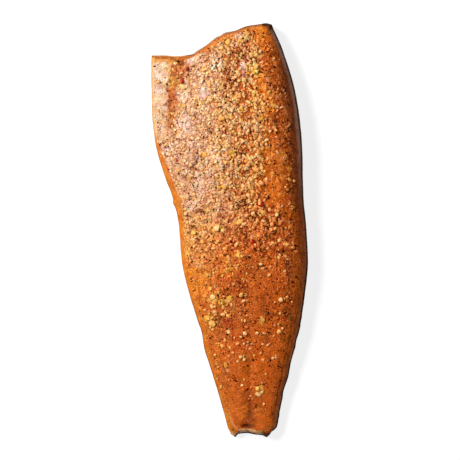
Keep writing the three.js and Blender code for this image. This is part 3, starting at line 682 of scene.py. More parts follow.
# painted shade: burgundy in the cracks
col = mix(col, BURGUNDY, np.clip(cracks * 0.7, 0, 0.9))
for px, py, rx, ry, k in ((245.5, 425, 5.5, 1.7, 0.95), (251, 426.6, 4.0, 1.2, 0.8), (242.5, 426.5, 2.2, 1.6, 0.8), (253.5, 420.5, 2.0, 1.2, 0.5),
                          (265.5, 24.8, 4.0, 2.0, 0.95), (270.5, 27, 1.8, 4.0, 0.9), (179, 61.2, 2.7, 2.0, 0.98), (176.2, 63.8, 1.6, 1.4, 0.95), (182.8, 64, 2.7, 1.9, 0.85), (184, 60.5, 2, 1.6, 0.6), (188, 71, 3.6, 1.2, 0.6),
                          (181, 76, 2.4, 1.8, 0.45), (172.2, 100.5, 1.5, 1.3, 0.85), (165.8, 104.4, 2.0, 1.2, 0.5), (174.8, 127.4, 1.5, 1.6, 0.9), (177.5, 95.5, 1.6, 1.6, 0.5), (186, 177, 2.5, 2, 0.4), (249.5, 396, 1.7, 15, 0.42), (249.5, 414, 1.8, 7, 0.42), (272, 414, 1.6, 4, 0.4)):
    ragged = np.hypot((PXX + 1.2 * fbm(X, Y, 4, 28, 2) - px) / rx, (PYY + 1.2 * fbm(X, Y, 4, 29, 2) - py) / ry)
    col = mix(col, BURGUNDY, k * np.exp(-ragged ** 2.4))


def stroke(path, width):
    """How near each point is to a line through places in the view from above, 0 to 1."""
    qx, qy = PXX + 0.7 * fbm(X, Y, 4, 38, 2), PYY + 0.7 * fbm(X, Y, 4, 39, 2)
    best = np.full(X.shape, 1e9)
    for (x0, y0), (x1, y1) in zip(path[:-1], path[1:]):
        t = np.clip(((qx - x0) * (x1 - x0) + (qy - y0) * (y1 - y0)) / ((x1 - x0) ** 2 + (y1 - y0) ** 2), 0, 1)
        best = np.minimum(best, np.hypot(qx - x0 - t * (x1 - x0), qy - y0 - t * (y1 - y0)))
    return np.exp(-(best / width) ** 2)


# the shaded lip of the belly flap beside its valley
for path, wide, k in (([(169, 79), (167.2, 84), (167.8, 90)], 1.1, 0.62), ([(171, 97.5), (168.5, 101), (164.5, 105.5)], 1.0, 0.60), ([(175.5, 92), (174.5, 99)], 0.8, 0.40),
                      ([(175.2, 106), (173.4, 112)], 0.9, 0.50), ([(171, 117), (171.8, 122)], 0.9, 0.50), ([(168, 126), (171, 128.5), (174.5, 126)], 0.8, 0.45)):
    col = mix(col, srgb(132, 50, 18), k * stroke(path, wide))
# the tail end: golden side, a painted highlight along the edge beside it, curved muscle layers, pale dry rim over the
# cut
side = smooth(0.6, -0.6, PXX - line([(400, 221.5), (411, 228.0), (418, 230.5), (425, 233.5), (432, 237.0)])(PYY)) * smooth(404, 412, PYY)
col = mix(col, mix(np.broadcast_to(srgb(206, 122, 26), col.shape), srgb(176, 92, 20), 0.5 + 1.5 * fbm(X, Y, 5, 36, 2)), 0.8 * side)
# painted highlight along the rounded edge of the left lobe
col = mix(col, srgb(240, 168, 116), 0.22 * stroke([(228.5, 410), (231, 418)], 0.8))
col = mix(col, srgb(240, 168, 116), 0.55 * stroke([(231, 420), (234, 426), (238.5, 430)], 0.9))
col = mix(col, srgb(140, 96, 46), 0.65 * stroke([(263, 431), (270, 427.5), (274.5, 423), (276.5, 408)], 1.2))
for arc in ([(241.5, 408), (245, 406.5), (247.5, 409)], [(241, 413), (245, 410.5), (248, 413)], [(241, 418.5), (243.5, 415), (247, 415.5)],
            [(255, 410), (259, 408), (263, 410)], [(254.5, 416), (259, 413.5), (265, 415)]):
    col = mix(col, srgb(232, 138, 52), 0.45 * stroke(arc, 0.8))
col = mix(col, srgb(196, 150, 126), 0.30 * stroke([(246, 420), (248, 422)], 1.2))
rim_end = on_top * smooth(2.2, 0.9, from_tail + 0.8 * fbm(X, Y, 5, 56, 2))
col = mix(col, srgb(220, 176, 126), 0.85 * rim_end * smooth(238, 241, PXX) * smooth(258, 254, PXX))
col = mix(col, srgb(176, 140, 84), 0.75 * rim_end * smooth(254, 258, PXX) * smooth(264, 261, PXX))
col = mix(col, srgb(44, 32, 20), 0.85 * rim_end * smooth(261, 264, PXX) * smooth(271, 268, PXX))
speck = (np.random.default_rng(64).random(X.shape) < 0.03) & (on_top > 0.5)
col = mix(col, DARK, 0.5 * speck)
gloss = np.clip(0.22 + 0.16 * smooth(350, 400, PYY) + 0.06 * K + 0.05 * small - 0.04 * clean_left - 0.04 * clean_head - 0.03 * bare + 0.14 * shaded_dip, 0.15, 0.7)


# ------------------------------------------------------------ meshes
def finish_mesh(me, tint, values, flat):
    rgba = np.ones((len(tint), 4), np.float32)
    rgba[:, :3] = np.clip(tint, 0, 1)
    me.color_attributes.new("tint", "FLOAT_COLOR", "POINT").data.foreach_set("color", rgba.ravel())
    for key, data in values.items():
        me.attributes.new(key, "FLOAT", "POINT").data.foreach_set("value", np.asarray(data, np.float32).ravel())
    me.validate()
    if flat:
        me.shade_flat()
    else:
        me.shade_smooth()
    ob = bpy.data.objects.new(me.name, me)
    bpy.context.scene.collection.objects.link(ob)
    return ob


def face_mesh(name, verts, faces, tint, values):
    me = bpy.data.meshes.new(name)
    me.from_pydata((np.asarray(verts) * MM).tolist(), [], faces)
    return finish_mesh(me, tint, values, False)


def tri_mesh(name, v, f, tint, flat=False):
    me = bpy.data.meshes.new(name)
    me.vertices.add(len(v))
    me.vertices.foreach_set("co", (v * MM).astype(np.float32).ravel())
    me.loops.add(len(f) * 3)
    me.loops.foreach_set("vertex_index", f.astype(np.int32).ravel())
    me.polygons.add(len(f))
    me.polygons.foreach_set("loop_start", np.arange(0, len(f) * 3, 3, dtype=np.int32))
    me.update(calc_edges=True)
    return finish_mesh(me, tint, {}, flat)


def tidy(ob, dist):
    bm = bmesh.new()
    bm.from_mesh(ob.data)
    bmesh.ops.remove_doubles(bm, verts=bm.verts, dist=dist)
    bmesh.ops.dissolve_degenerate(bm, dist=1e-6, edges=bm.edges)
    bmesh.ops.holes_fill(bm, edges=[e for e in bm.edges if e.is_boundary], sides=0)
    bmesh.ops.triangulate(bm, faces=[f for f in bm.faces if len(f.verts) > 4])
    bmesh.ops.recalc_face_normals(bm, faces=bm.faces)
    bm.to_mesh(ob.data)
    bm.free()
    ob.data.shade_smooth()


def cut_face(row, sign, cut, seed):
    """Points and colours of a cut face, from just under the rim to the base."""
    rim = P[row]
    foot_l, foot_r = rim[0, 0], rim[-1, 0]
    t = np.clip((rim[:, 0] - foot_l) / (foot_r - foot_l), 0, 1)
    t = 0.97 * t + 0.03 * np.linspace(0, 1, len(t))
    ys = rim[:, 1]
    xb = lerp(foot_l, foot_r, t)
    yb = cut(np.clip((xb - belly_edge(ys)) / (back_edge(ys) - belly_edge(ys)), 0, 1)) - sign * PEEK
    yb[0], yb[-1] = rim[0, 1], rim[-1, 1]
    base = np.stack([xb, yb, np.full(len(t), 0.45)], axis=-1)
    pts, tints = [], []
    for k in range(1, CUT_ROWS + 1):
        f = k / CUT_ROWS
        p = rim + (base - rim) * f
        bow = np.sin(np.pi * f) * smooth(0.0, 0.05, t) * smooth(1.0, 0.95, t)
        up = p[:, 2].copy()
        # arcs of muscle layers, bent round the loin
        ring = np.hypot((p[:, 0] - lerp(foot_l, foot_r, 0.66)) * 0.62, (up - 2.0) * 1.5) + 1.2 * fbm(p[:, 0], up * 2, 9, seed, 2)
        layer = np.sin(2 * np.pi * ring / 5.4)
        p[:, 1] += sign * bow * (0.5 + 0.28 * layer + 0.5 * fbm(p[:, 0], up * 2, 11, seed + 1, 3))
        tint = mix(np.broadcast_to(srgb(190, 100, 38), p.shape), srgb(214, 134, 68), smooth(0.55, 0.98, layer))
        tint = mix(tint, srgb(176, 84, 36), 0.5 * fbm(p[:, 0], up, 7, seed + 2, 3))
        px_ = 229.5 + p[:, 0] / PX
        tint = mix(tint, srgb(186, 92, 34), (0.6 if sign > 0 else 0.0) * smooth(0.3, 0.0, f) + 0 * t)
        tint = mix(tint, srgb(112, 66, 44), 0.65 * smooth(3.4, 1.4, up))
        tint = mix(tint, FAT, 0.7 * smooth(0.955, 0.99, t))
        if sign < 0:          # the tail cut is drier and greyer
            tint = mix(tint, srgb(220, 172, 122), 0.75 + 0.3 * fbm(p[:, 0], up * 2, 5, seed + 3, 2))
            tint = mix(tint, srgb(84, 60, 36), 0.9 * smooth(0.05, 0.5, fbm(p[:, 0], up * 2, 6, seed + 4, 2)))
            tint = mix(tint, srgb(168, 128, 98), 0.7 * smooth(0.2, 0.6, fbm(p[:, 0], up * 2, 5, seed + 5, 2)))
            tint = mix(tint, srgb(226, 176, 132), 0.8 * smooth(0.16, 0.02, t))
            tint = mix(tint, srgb(36, 26, 18), 0.9 * smooth(261, 264.5, px_))
            tint = mix(tint, srgb(150, 104, 52), 0.8 * smooth(272, 274, px_))
        else:
            tint = mix(tint, srgb(56, 18, 10), 0.95 * smooth(260.5, 263.5, px_))
        pts.append(p)
        tints.append(tint)
    pts[-1][:, 2] = 0.45
    return pts, tints


verts, tints, dulls = [P.reshape(-1, 3)], [col.reshape(-1, 3)], [gloss.ravel()]
n = COLS + 1
idx = np.arange((ROWS + 1) * n).reshape(ROWS + 1, n)


def strip(g):
    return np.stack([g[:-1, :-1], g[:-1, 1:], g[1:, 1:], g[1:, :-1]], axis=-1).reshape(-1, 4)


faces = strip(idx).tolist()
start, loops = (ROWS + 1) * n, {}
for key, rim, (pts, tnt) in (("head", idx[-1], cut_face(ROWS, 1.0, head_cut, 71)), ("tail", idx[0], cut_face(0, -1.0, tail_cut, 81))):
    ring = np.arange(CUT_ROWS * n).reshape(CUT_ROWS, n) + start
    start += CUT_ROWS * n
    verts += pts
    tints += tnt
    dulls += [np.full(n, 0.32 if key == "head" else 0.5)] * CUT_ROWS
    q = strip(np.vstack([rim[None], ring]))
    faces += (q if key == "head" else q[:, ::-1]).tolist()
    loops[key] = ring[-1]
base_ring = list(loops["tail"]) + list(idx[1:-1, -1]) + list(loops["head"][::-1]) + list(idx[1:-1, 0][::-1])
faces.append([int(i) for i in base_ring[::-1]])
flesh = face_mesh("flesh", np.concatenate(verts), faces, np.concatenate(tints), {"dull": np.concatenate(dulls)})
tidy(flesh, 1e-5)

# ------------------------------------------------------------ skin
SR = 260
ws = np.concatenate([np.linspace(0.16, 0.0, 8)[:-1], np.linspace(-1, -2, 110), np.linspace(3.0, SKIN_LIP, 36)[1:]])
bs = np.linspace(0, 1, SR + 1)
bs = bs - 0.012 * np.sin(2 * np.pi * bs)
WV, BV = np.meshgrid(ws, bs)
yy = lerp(-218, 214, BV)
lip_s = SKIN_LIP + 0.030 * fbm(yy, yy * 0, 34, 51, 3) + 0.012 * fbm(yy, yy * 0, 7, 52, 2) - line([(-220, 0.05), (-150, 0.02), (0, 0.0)])(yy)
WV = np.where(WV > 1.5, 3.0 - (3.0 - WV) * (3.0 - lip_s) / (3.0 - SKIN_LIP), WV)
S0 = place(np.where(WV < -0.5, -WV - 1, np.where(WV > 1.5, 1.0, 0.0)), BV, np.where(WV < -0.5, 0.0, np.where(WV > 1.5, 3 - WV, WV)))
SN = grid_normals(S0)
if SN[SR // 2, 60, 2] > 0:
    SN = -SN
xs, ysk = S0[..., 0], S0[..., 1]
wall = smooth(0.0, 4.0, S0[..., 2])
arc_s = np.cumsum(np.concatenate([np.zeros((SR + 1, 1)), np.linalg.norm(np.diff(S0, axis=1), axis=-1)], axis=1), axis=1)
# scales: rows of overlapping rounded lozenges
row_n = arc_s / 2.6
along = ysk / 4.6 + np.floor(row_n) % 2 * 0.5
scales = np.clip(1 - (np.hypot((along - np.floor(along) - 0.5) * 1.15, (row_n - np.floor(row_n) - 0.5) * 0.9) / 0.62) ** 2, 0, 1)
lift = 0.14 * scales + 0.35 * fbm(arc_s, ysk, 23, 91, 3) * wall + 0.12 * fbm(arc_s, ysk, 5, 92, 2)
S0 = S0 + SN * (lift * wall)[..., None]
S0[..., 2] = np.where(WV < -0.5, 0.05 * (1 - scales), np.maximum(S0[..., 2], 0.0))
shift_x, shift_y = uneven(xs, ysk)
S0[..., 0] += shift_x
S0[..., 1] += shift_y
S1 = S0 - SN * SKIN
S1[..., 2] = np.where(WV < -0.5, SKIN, S1[..., 2])
back_share = smooth(0.45, 0.95, (xs - belly_edge(ysk)) / (back_edge(ysk) - belly_edge(ysk)))
sk = mix(np.broadcast_to(srgb(150, 140, 128), S0.shape), srgb(52, 42, 36), back_share + 0.25 * fbm(arc_s, ysk, 18, 93, 3))
sk = mix(sk, srgb(28, 20, 16), 0.45 * smooth(0.25, 0.0, scales))
sk = mix(sk, srgb(140, 80, 36), 0.17 + 0.2 * fbm(arc_s, ysk, 31, 94, 3))
lip_c = mix(np.broadcast_to(srgb(84, 58, 46), sk.shape), srgb(22, 8, 3), smooth(40, -60, ysk))
sk = mix(sk, lip_c, 0.85 * (WV > 1.5) * smooth(0.2, 0.7, (3 - WV) / 0.48))
# its inner face shows as a thin line along the cuts: brown or pale grey at the head, black at the tail
inner = mix(sk, srgb(186, 160, 130), np.full(sk.shape[:2], 0.7))
us = (xs - belly_edge(ysk)) / (back_edge(ysk) - belly_edge(ysk))
at_head, at_tail = smooth(5.0, 3.0, head_cut(us) - ysk), smooth(5.0, 3.0, ysk - tail_cut(us))
px_s = 229.5 + xs / PX
ends = mix(mix(np.broadcast_to(srgb(206, 140, 70), sk.shape), srgb(112, 56, 26), smooth(182, 190, px_s)), srgb(150, 138, 128), smooth(191, 196, px_s) * smooth(234, 228, px_s))
ends = mix(ends, srgb(50, 18, 10), smooth(260, 263, px_s))
inner = mix(mix(inner, ends, 0.95 * at_head), srgb(26, 16, 10), 0.95 * at_tail)
sk = mix(sk, srgb(26, 16, 10), 0.8 * at_tail)
nn = WV.shape[1]
i0 = np.arange((SR + 1) * nn).reshape(SR + 1, nn)
i1 = i0 + (SR + 1) * nn


def band(p, q):
    return np.stack([p[:-1], p[1:], q[1:], q[:-1]], axis=-1)


sf = np.concatenate([strip(i0), strip(i1)[:, ::-1], band(i0[0], i1[0]), band(i0[-1], i1[-1])[:, ::-1],
                     band(i0[:, 0], i1[:, 0])[:, ::-1], band(i0[:, -1], i1[:, -1])])
skin = face_mesh("skin", np.concatenate([S0.reshape(-1, 3), S1.reshape(-1, 3)]), sf.tolist(),
                 np.concatenate([sk.reshape(-1, 3), inner.reshape(-1, 3)]),
                 {"dull": np.concatenate([np.full(S0.shape[:2], 0.36).ravel(), np.full(S0.shape[:2], 0.5).ravel()])})
tidy(skin, 1e-6)


# ------------------------------------------------------------ scattered seasoning
def ico(level, seed, rough=0.12):
    """One uneven grain: verts and triangles of about unit size."""
    bm = bmesh.new()
    bmesh.ops.create_icosphere(bm, subdivisions=level, radius=1.0)
    v = np.array([x.co for x in bm.verts], float)
    f = np.array([[x.index for x in t.verts] for t in bm.faces], int)
    bm.free()
    rng = np.random.default_rng(seed)
    if level <= 1:
        v = v * (1 + rough * (rng.random((len(v), 1)) * 2 - 1))
    else:
        k, ph = rng.normal(size=(5, 3)) * 2.0, rng.random(5) * 6.3
        v = v * (1 + rough * np.mean([np.sin(v @ kk + p) for kk, p in zip(k, ph)], axis=0)[:, None] * 1.8)
    return v, f


def cracked(seed, cuts=7):
    """A grain broken along a few flat faces, with rounded edges."""
    v, f = ico(2, seed, 0.2)
    rng = np.random.default_rng(seed + 1000)
    n_ = unit(rng.normal(size=(cuts, 3)))
    reach = 0.55 + 0.35 * rng.random(cuts)
    far = (unit(v) @ n_.T) / reach
    return v / np.maximum(1.0, far.max(axis=1))[:, None] * np.array([1.25, 1.05, 1.1]), f


def octa(seed, rough=0.25):
    v = np.array([(1, 0, 0), (0, 1, 0), (-1, 0, 0), (0, -1, 0), (0, 0, 1), (0, 0, -1)], float)
    f = np.array([(0, 1, 4), (1, 2, 4), (2, 3, 4), (3, 0, 4), (1, 0, 5), (2, 1, 5), (3, 2, 5), (0, 3, 5)])
    return v * (1 + rough * (np.random.default_rng(seed).random((6, 1)) * 2 - 1)), f


def leaf(seed, sides=9, rings=2, thick=0.16, ragged=0.3, curl=0.25):
    """A thin curled flake with a ragged outline, closed on both faces."""
    rng = np.random.default_rng(seed)
    ang = np.linspace(0, 2 * math.pi, sides, endpoint=False) + rng.random(sides) * 0.3
    rad = 1 - ragged * rng.random(sides)
    k = rng.normal(size=2)
    pts, f = [], []

    def bend(x, y):
        return curl * (k[0] * x * x + k[1] * x * y - 0.4 * y * y) * 0.5
    for side in (1, -1):
        pts.append((0, 0, bend(0, 0) + side * thick))
        for r in range(1, rings + 1):
            for t, q in zip(ang, rad):
                x, y = math.cos(t) * q * r / rings, math.sin(t) * q * r / rings
                pts.append((x, y, bend(x, y) + side * thick * (0.35 if r == rings else 1.0) + 0.05 * rng.normal() * (r < rings)))
    half = 1 + rings * sides
    for side, o in ((1, 0), (-1, half)):
        for i in range(sides):
            j = (i + 1) % sides
            tri = [(o, o + 1 + i, o + 1 + j)]
            for r in range(1, rings):
                p, q = o + 1 + (r - 1) * sides, o + 1 + r * sides
                tri += [(p + i, q + i, q + j), (p + i, q + j, p + j)]
            f += tri if side > 0 else [t[::-1] for t in tri]
    p, q = 1 + (rings - 1) * sides, half + 1 + (rings - 1) * sides
    for i in range(sides):
        j = (i + 1) % sides
        f += [(p + i, q + i, q + j), (p + i, q + j, p + j)]
    return np.array(pts, float), np.array(f)


def scatter(name, shapes, pos, nrm, size, colour, sink, tilt, seed, flat=False, foot=(0.72, 0.46, 0.20)):
    """Joins copies of the shapes, laid on the surface, into one mesh; each gets painted shade at its foot and is a
    little lighter at its top.
    """
    rng = np.random.default_rng(seed)
    count = len(pos)
    spin = rng.random(count) * 2 * math.pi
    up = unit(nrm + tilt * rng.normal(size=(count, 3)))
    e1 = unit(np.cross(np.where(np.abs(up[:, 2:3]) < 0.9, [[0, 0, 1.0]], [[1.0, 0, 0]]), up))
    e2 = np.cross(up, e1)
    cs, sn = np.cos(spin)[:, None], np.sin(spin)[:, None]
    ax, ay = e1 * cs + e2 * sn, e2 * cs - e1 * sn
    kind = rng.integers(0, len(shapes), count)
    vs, fs, ts, off = [], [], [], 0
    for k, (sv, sfc) in enumerate(shapes):
        pick = np.where(kind == k)[0]
        if len(pick) == 0:
            continue
        loc = sv[None] * size[pick][:, None, :]
        out = (loc[..., 0:1] * ax[pick][:, None] + loc[..., 1:2] * ay[pick][:, None]
               + (loc[..., 2:3] + (sink[pick] * size[pick][:, 2])[:, None, None]) * up[pick][:, None]) + pos[pick][:, None]
        vs.append(out.reshape(-1, 3))
        fs.append((sfc[None] + (np.arange(len(pick)) * len(sv))[:, None, None] + off).reshape(-1, 3))
        # painted shade: each grain darker towards its foot, a little lighter at its top
        shade = (1 + 0.06 * rng.normal(size=(len(pick), len(sv), 1))) * lerp(np.array(foot), 1.04, smooth(-0.4, 0.75, sv[None, :, 2:3]))
        ts.append((colour[pick][:, None] * np.clip(shade, 0.2, 1.4)).reshape(-1, 3))
        off += len(pick) * len(sv)
    return tri_mesh(name, np.concatenate(vs), np.concatenate(fs), np.concatenate(ts), flat)


NS = grid_normals(P)
for _ in range(2):       # smoother normals to lay things on
    NS[1:-1, 1:-1] = NS[1:-1, 1:-1] + 0.5 * (NS[:-2, 1:-1] + NS[2:, 1:-1] + NS[1:-1, :-2] + NS[1:-1, 2:])
    NS = unit(NS)

flat_p, flat_n = P.reshape(-1, 3), NS.reshape(-1, 3)
top_pts = np.where((w.ravel() > 0.6) & (w.ravel() < 2.6))[0]
tree = kdtree.KDTree(len(top_pts))
for q in top_pts:
    tree.insert((flat_p[q, 0], flat_p[q, 1], 0), int(q))
tree.balance()


def spots(list_px):
    """Surface places for positions seen in the view from above."""
    pos, nrm = [], []
    for px, py in list_px:
        x0, y0 = at_px(px, py)
        x, y = x0, y0
        for _ in range(3):
            q = tree.find((x, y, 0))[1]
            f = (CAMERA_HEIGHT - flat_p[q, 2]) / CAMERA_HEIGHT
            x, y = x0 * f, y0 * f
        pos.append([x, y, flat_p[q, 2]])
        nrm.append(flat_n[q])
    return np.array(pos), np.array(nrm)


def palette(colours, weights, rng, count, vary=0.08):
    c_ = np.array(colours)[rng.choice(len(colours), count, p=np.array(weights) / sum(weights))]
    return np.clip(c_ * (1 + vary * rng.normal(size=(count, 1))) * (1 + 0.4 * vary * rng.normal(size=(count, 3))), 0.002, 1)


def join(places, extra):
    sp, sn = spots(extra)
    return np.vstack([sp, places.at(P)]), np.vstack([sn, places.at(NS)])


pieces = {}
clump = np.clip(0.55 + 0.9 * fbm(SX, Y, 13, 101, 3), 0.05, 2)

rng = grains.rng
cnt = len(grains)
g_col = palette([CREAM, PEACH, TAN, YELLOW], [2.2, 2.8, 2.0, 0.9], rng, cnt, 0.05)
blend = 0.55 * rng.random(cnt) ** 1.6 * (0.35 + 0.65 * grains.at(upper))
g_col = mix(np.clip(grains.at(lit) * (0.98 + 0.30 * rng.random((cnt, 1))), 0, 0.98), g_col, blend)
g_size = np.stack([gr * (1.0 + 0.6 * rng.random(cnt)), gr * (0.80 + 0.3 * rng.random(cnt)), gr * 0.70], axis=-1)
pieces["granules"] = scatter("granules", [cracked(30 + i) for i in range(18)], grains.at(P), grains.at(NS), g_size, g_col,
                             np.full(cnt, -0.12), 0.25, 302)

# crumbs, most of them of the same shade as what they lie on
pl = Places(24200, (0.18 + 0.82 * K) * on_top * (1 - 0.9 * clean_left) * (1 - 0.75 * clean_head) * (1 - 0.9 * clean_tail) * (0.5 + 0.8 * np.clip(ridge, 0, 1))
            * lerp(0.42, 1.0, smooth(285, 215, PYY)) * (1 - 0.4 * frost_and_sheen) * (1 - 0.5 * flap_body) * (1 - 0.30 * loose) * (1 - 0.5 * valley), 208)
rng, cnt = pl.rng, len(pl)
sz = 0.32 + 0.44 * rng.random(cnt) ** 1.7
size = np.stack([sz * (1.0 + 0.9 * rng.random(cnt)), sz * (0.8 + 0.3 * rng.random(cnt)), sz * 0.8], axis=-1)
colr = np.clip(mix(pl.at(lit), pl.at(col), np.full(cnt, 0.45)) * (0.70 + 0.90 * rng.random((cnt, 1))), 0, 0.98)
kind = rng.random(cnt)
# pale pink crumbs: seasoning flecks that also stand in as painted highlights
colr = mix(colr, srgb(252, 178, 126), 0.55 * (kind < 0.16))
colr = mix(colr, srgb(238, 176, 86), 0.50 * ((kind > 0.16) & (kind < 0.25)))
# painted shade: one crumb in five darkened to stand in for shaded crevices
colr = mix(colr, colr * np.array([0.40, 0.16, 0.04]), 1.0 * (kind > 0.80))
pieces["crumbs"] = scatter("crumbs", [octa(i) for i in range(8)], pl.at(P), pl.at(NS), size, colr, np.full(cnt, 0.10), 0.35, 301)

# round pale seeds
pl = Places(300, np.clip(K * (1 - 0.85 * thin_band) + 0.006 * on_top * (1 - clean_left), 0, 1) * clump * (0.16 + smooth(275, 215, PYY)) * lerp(0.35, 1.2, smooth(0.25, 0.55, U)) * (1 + 2.0 * golden), 203)
pos, nrm = join(pl, [q[:2] for q in SEEDS])
rng, cnt = pl.rng, len(pos)
sz = 1.15 + 1.0 * rng.random(cnt) ** 1.3
sz[:len(SEEDS)] = 0.47 * PX * np.array([q[2] for q in SEEDS])
size = np.stack([sz * (1.0 + 0.35 * rng.random(cnt)), sz * (0.85 + 0.2 * rng.random(cnt)), sz * (0.62 + 0.15 * rng.random(cnt))], axis=-1)
colr = palette([srgb(254, 193, 130), srgb(246, 170, 98), srgb(244, 178, 98)], [3, 2, 2], rng, cnt, 0.06)
fade = np.concatenate([[0.05 + q[3] for q in SEEDS], 0.02 + 0.5 * rng.random(len(pl)) ** 1.3])
colr = mix(colr, np.vstack([np.tile(srgb(220, 136, 60), (len(SEEDS), 1)), pl.at(tone)]), fade)
pieces["seeds"] = scatter("seeds", [ico(2, 60 + i, 0.22) for i in range(10)], pos, nrm, size, colr, np.where(np.arange(cnt) < len(SEEDS), 0.22, -0.05), 0.2, 303)

# yellow and yellow-green flakes
pl = Places(150, K * clump * (0.4 + smooth(0.75, 0.3, U)), 204)
pos, nrm = join(pl, [q[:2] for q in FLAKES])
rng, cnt = pl.rng, len(pos)
sz = 1.1 + 0.9 * rng.random(cnt) ** 1.5
sz[:len(FLAKES)] = 0.58 * PX * np.array([q[2] for q in FLAKES])
size = np.stack([sz * (1.0 + 0.7 * rng.random(cnt)), sz, np.full(cnt, 1.6)], axis=-1)
colr = palette([srgb(250, 188, 100), srgb(242, 178, 88), srgb(222, 168, 66), srgb(252, 203, 134)], [3, 2, 1.4, 1.6], rng, cnt, 0.06)
colr = mix(colr, srgb(206, 128, 52), np.concatenate([[q[3] for q in FLAKES], 0.6 * rng.random(len(pl))]))
pieces["flakes"] = scatter("flakes", [leaf(90 + i) for i in range(8)], pos, nrm, size, colr, np.full(cnt, 0.34), 0.14, 304, False, (0.92, 0.86, 0.80))

# cracked pepper
pl = Places(2700, (0.45 + 0.4 * K) * on_top * (1 - 0.8 * clean_left) * (1 - 0.3 * flap_body) * (1 + 1.2 * browned) * (1 - 0.5 * frost_and_sheen)
            * (1 - 0.45 * smooth(322, 342, PYY)) * (1 - 0.4 * smooth(385, 400, PYY)) * (1 - 0.4 * bell(PYY, 264, 32)) * (1 - 0.45 * np.clip(1.4 * frosted_and_sheen * smooth(0.55, 0.35, U), 0, 1)) * (1 - 0.7 * smooth(0.26, 0.12, U) * smooth(240, 262, PYY)) * np.clip(0.55 + 1.4 * fbm(SX, Y, 9, 102, 2), 0.08, 2), 205)
pos, nrm = join(pl, DARKS)
rng, cnt = pl.rng, len(pos)
sz = 0.38 + 0.66 * rng.random(cnt) ** 2.8
sz[:len(DARKS)] = 0.82 + 0.36 * rng.random(len(DARKS))
size = np.stack([sz * (0.9 + 0.7 * rng.random(cnt)), sz * (0.8 + 0.4 * rng.random(cnt)), sz * 0.8], axis=-1)
colr = palette([srgb(76, 22, 5), srgb(100, 36, 8), srgb(122, 50, 12), srgb(30, 8, 4)], [3, 2.8, 2.4, 2.0], rng, cnt, 0.12)
colr[:len(DARKS)] *= 0.45
coated = np.clip(1.2 * pl.at(frosted_and_sheen) * (0.35 + 0.65 * smooth(0.60, 0.38, pl.at(U))), 0, 1) * (rng.random(len(pl)) < 0.8)
colr[len(DARKS):] = mix(colr[len(DARKS):], srgb(126, 62, 30), 0.75 * coated)
pieces["pepper"] = scatter("pepper", [ico(1, 120 + i, 0.35) for i in range(10)], pos, nrm, size, colr, np.full(cnt, 0.35), 0.4, 305, True, (0.9, 0.9, 0.9))

# red flakes
pl = Places(46, K * clump, 206)
pos, nrm = join(pl, REDS)
rng, cnt = pl.rng, len(pos)
sz = 0.8 + 0.7 * rng.random(cnt)
sz[:len(REDS)] = 2.1 + 0.5 * rng.random(len(REDS))
size = np.stack([sz * (1.0 + 0.8 * rng.random(cnt)), sz * 0.8, np.full(cnt, 1.1)], axis=-1)
colr = palette([srgb(160, 32, 20), srgb(134, 20, 18), srgb(180, 54, 34)], [3, 2, 2], rng, cnt, 0.1)
colr[[0, 4]] = srgb(146, 20, 38)
colr[[1, 2, 3, 5, 6]] = srgb(192, 32, 18)
pieces["red_flakes"] = scatter("red_flakes", [leaf(140 + i, 7, 1) for i in range(5)], pos, nrm, size, colr, np.full(cnt, 0.3), 0.2, 306, False, (0.9, 0.85, 0.8))

# dark herb bits
pl = Places(95, K * clump, 207)
pos, nrm = join(pl, HERBS)
rng, cnt = pl.rng, len(pos)
sz = 0.9 + 0.8 * rng.random(cnt)
size = np.stack([sz * (1.2 + 0.8 * rng.random(cnt)), sz * 0.55, np.full(cnt, 0.9)], axis=-1)
colr = palette([srgb(70, 62, 24), srgb(52, 46, 20), srgb(92, 84, 34)], [3, 2, 1], rng, cnt, 0.1)
pieces["herbs"] = scatter("herbs", [leaf(160 + i, 7, 1) for i in range(5)], pos, nrm, size, colr, np.full(cnt, 0.3), 0.2, 307, False, (0.9, 0.85, 0.8))


# ------------------------------------------------------------ materials
def material(name, build):
    m = bpy.data.materials.new(name)
    m.use_nodes = True
    t = m.node_tree
    t.nodes.clear()
    out = t.nodes.new("ShaderNodeOutputMaterial")
    bsdf = t.nodes.new("ShaderNodeBsdfPrincipled")
    t.links.new(bsdf.outputs["BSDF"], out.inputs["Surface"])

    def node(kind, op=None, **sockets):
        q = t.nodes.new(kind)
        if op:
            q.operation = op
        for key, v in sockets.items():
            at = int(key[1:]) if key[0] == "_" else key.replace("__", " ")
            if isinstance(v, bpy.types.NodeSocket):
                t.links.new(v, q.inputs[at])
            else:
                q.inputs[at].default_value = v
        return q

    def attribute(key):
        q = t.nodes.new("ShaderNodeAttribute")
        q.attribute_name = key
        return q
    build(t, bsdf, node, attribute)
    return m


def spread(node, value, low, high, to_low, to_high):
    return node("ShaderNodeMapRange", Value=value, From__Min=low, From__Max=high, To__Min=to_low, To__Max=to_high).outputs["Result"]


def tinted(t, bsdf, node, tint, factor):
    q = node("ShaderNodeVectorMath", "SCALE")
    t.links.new(tint, q.inputs[0])
    t.links.new(factor, q.inputs["Scale"])
    t.links.new(q.outputs[0], bsdf.inputs["Base Color"])


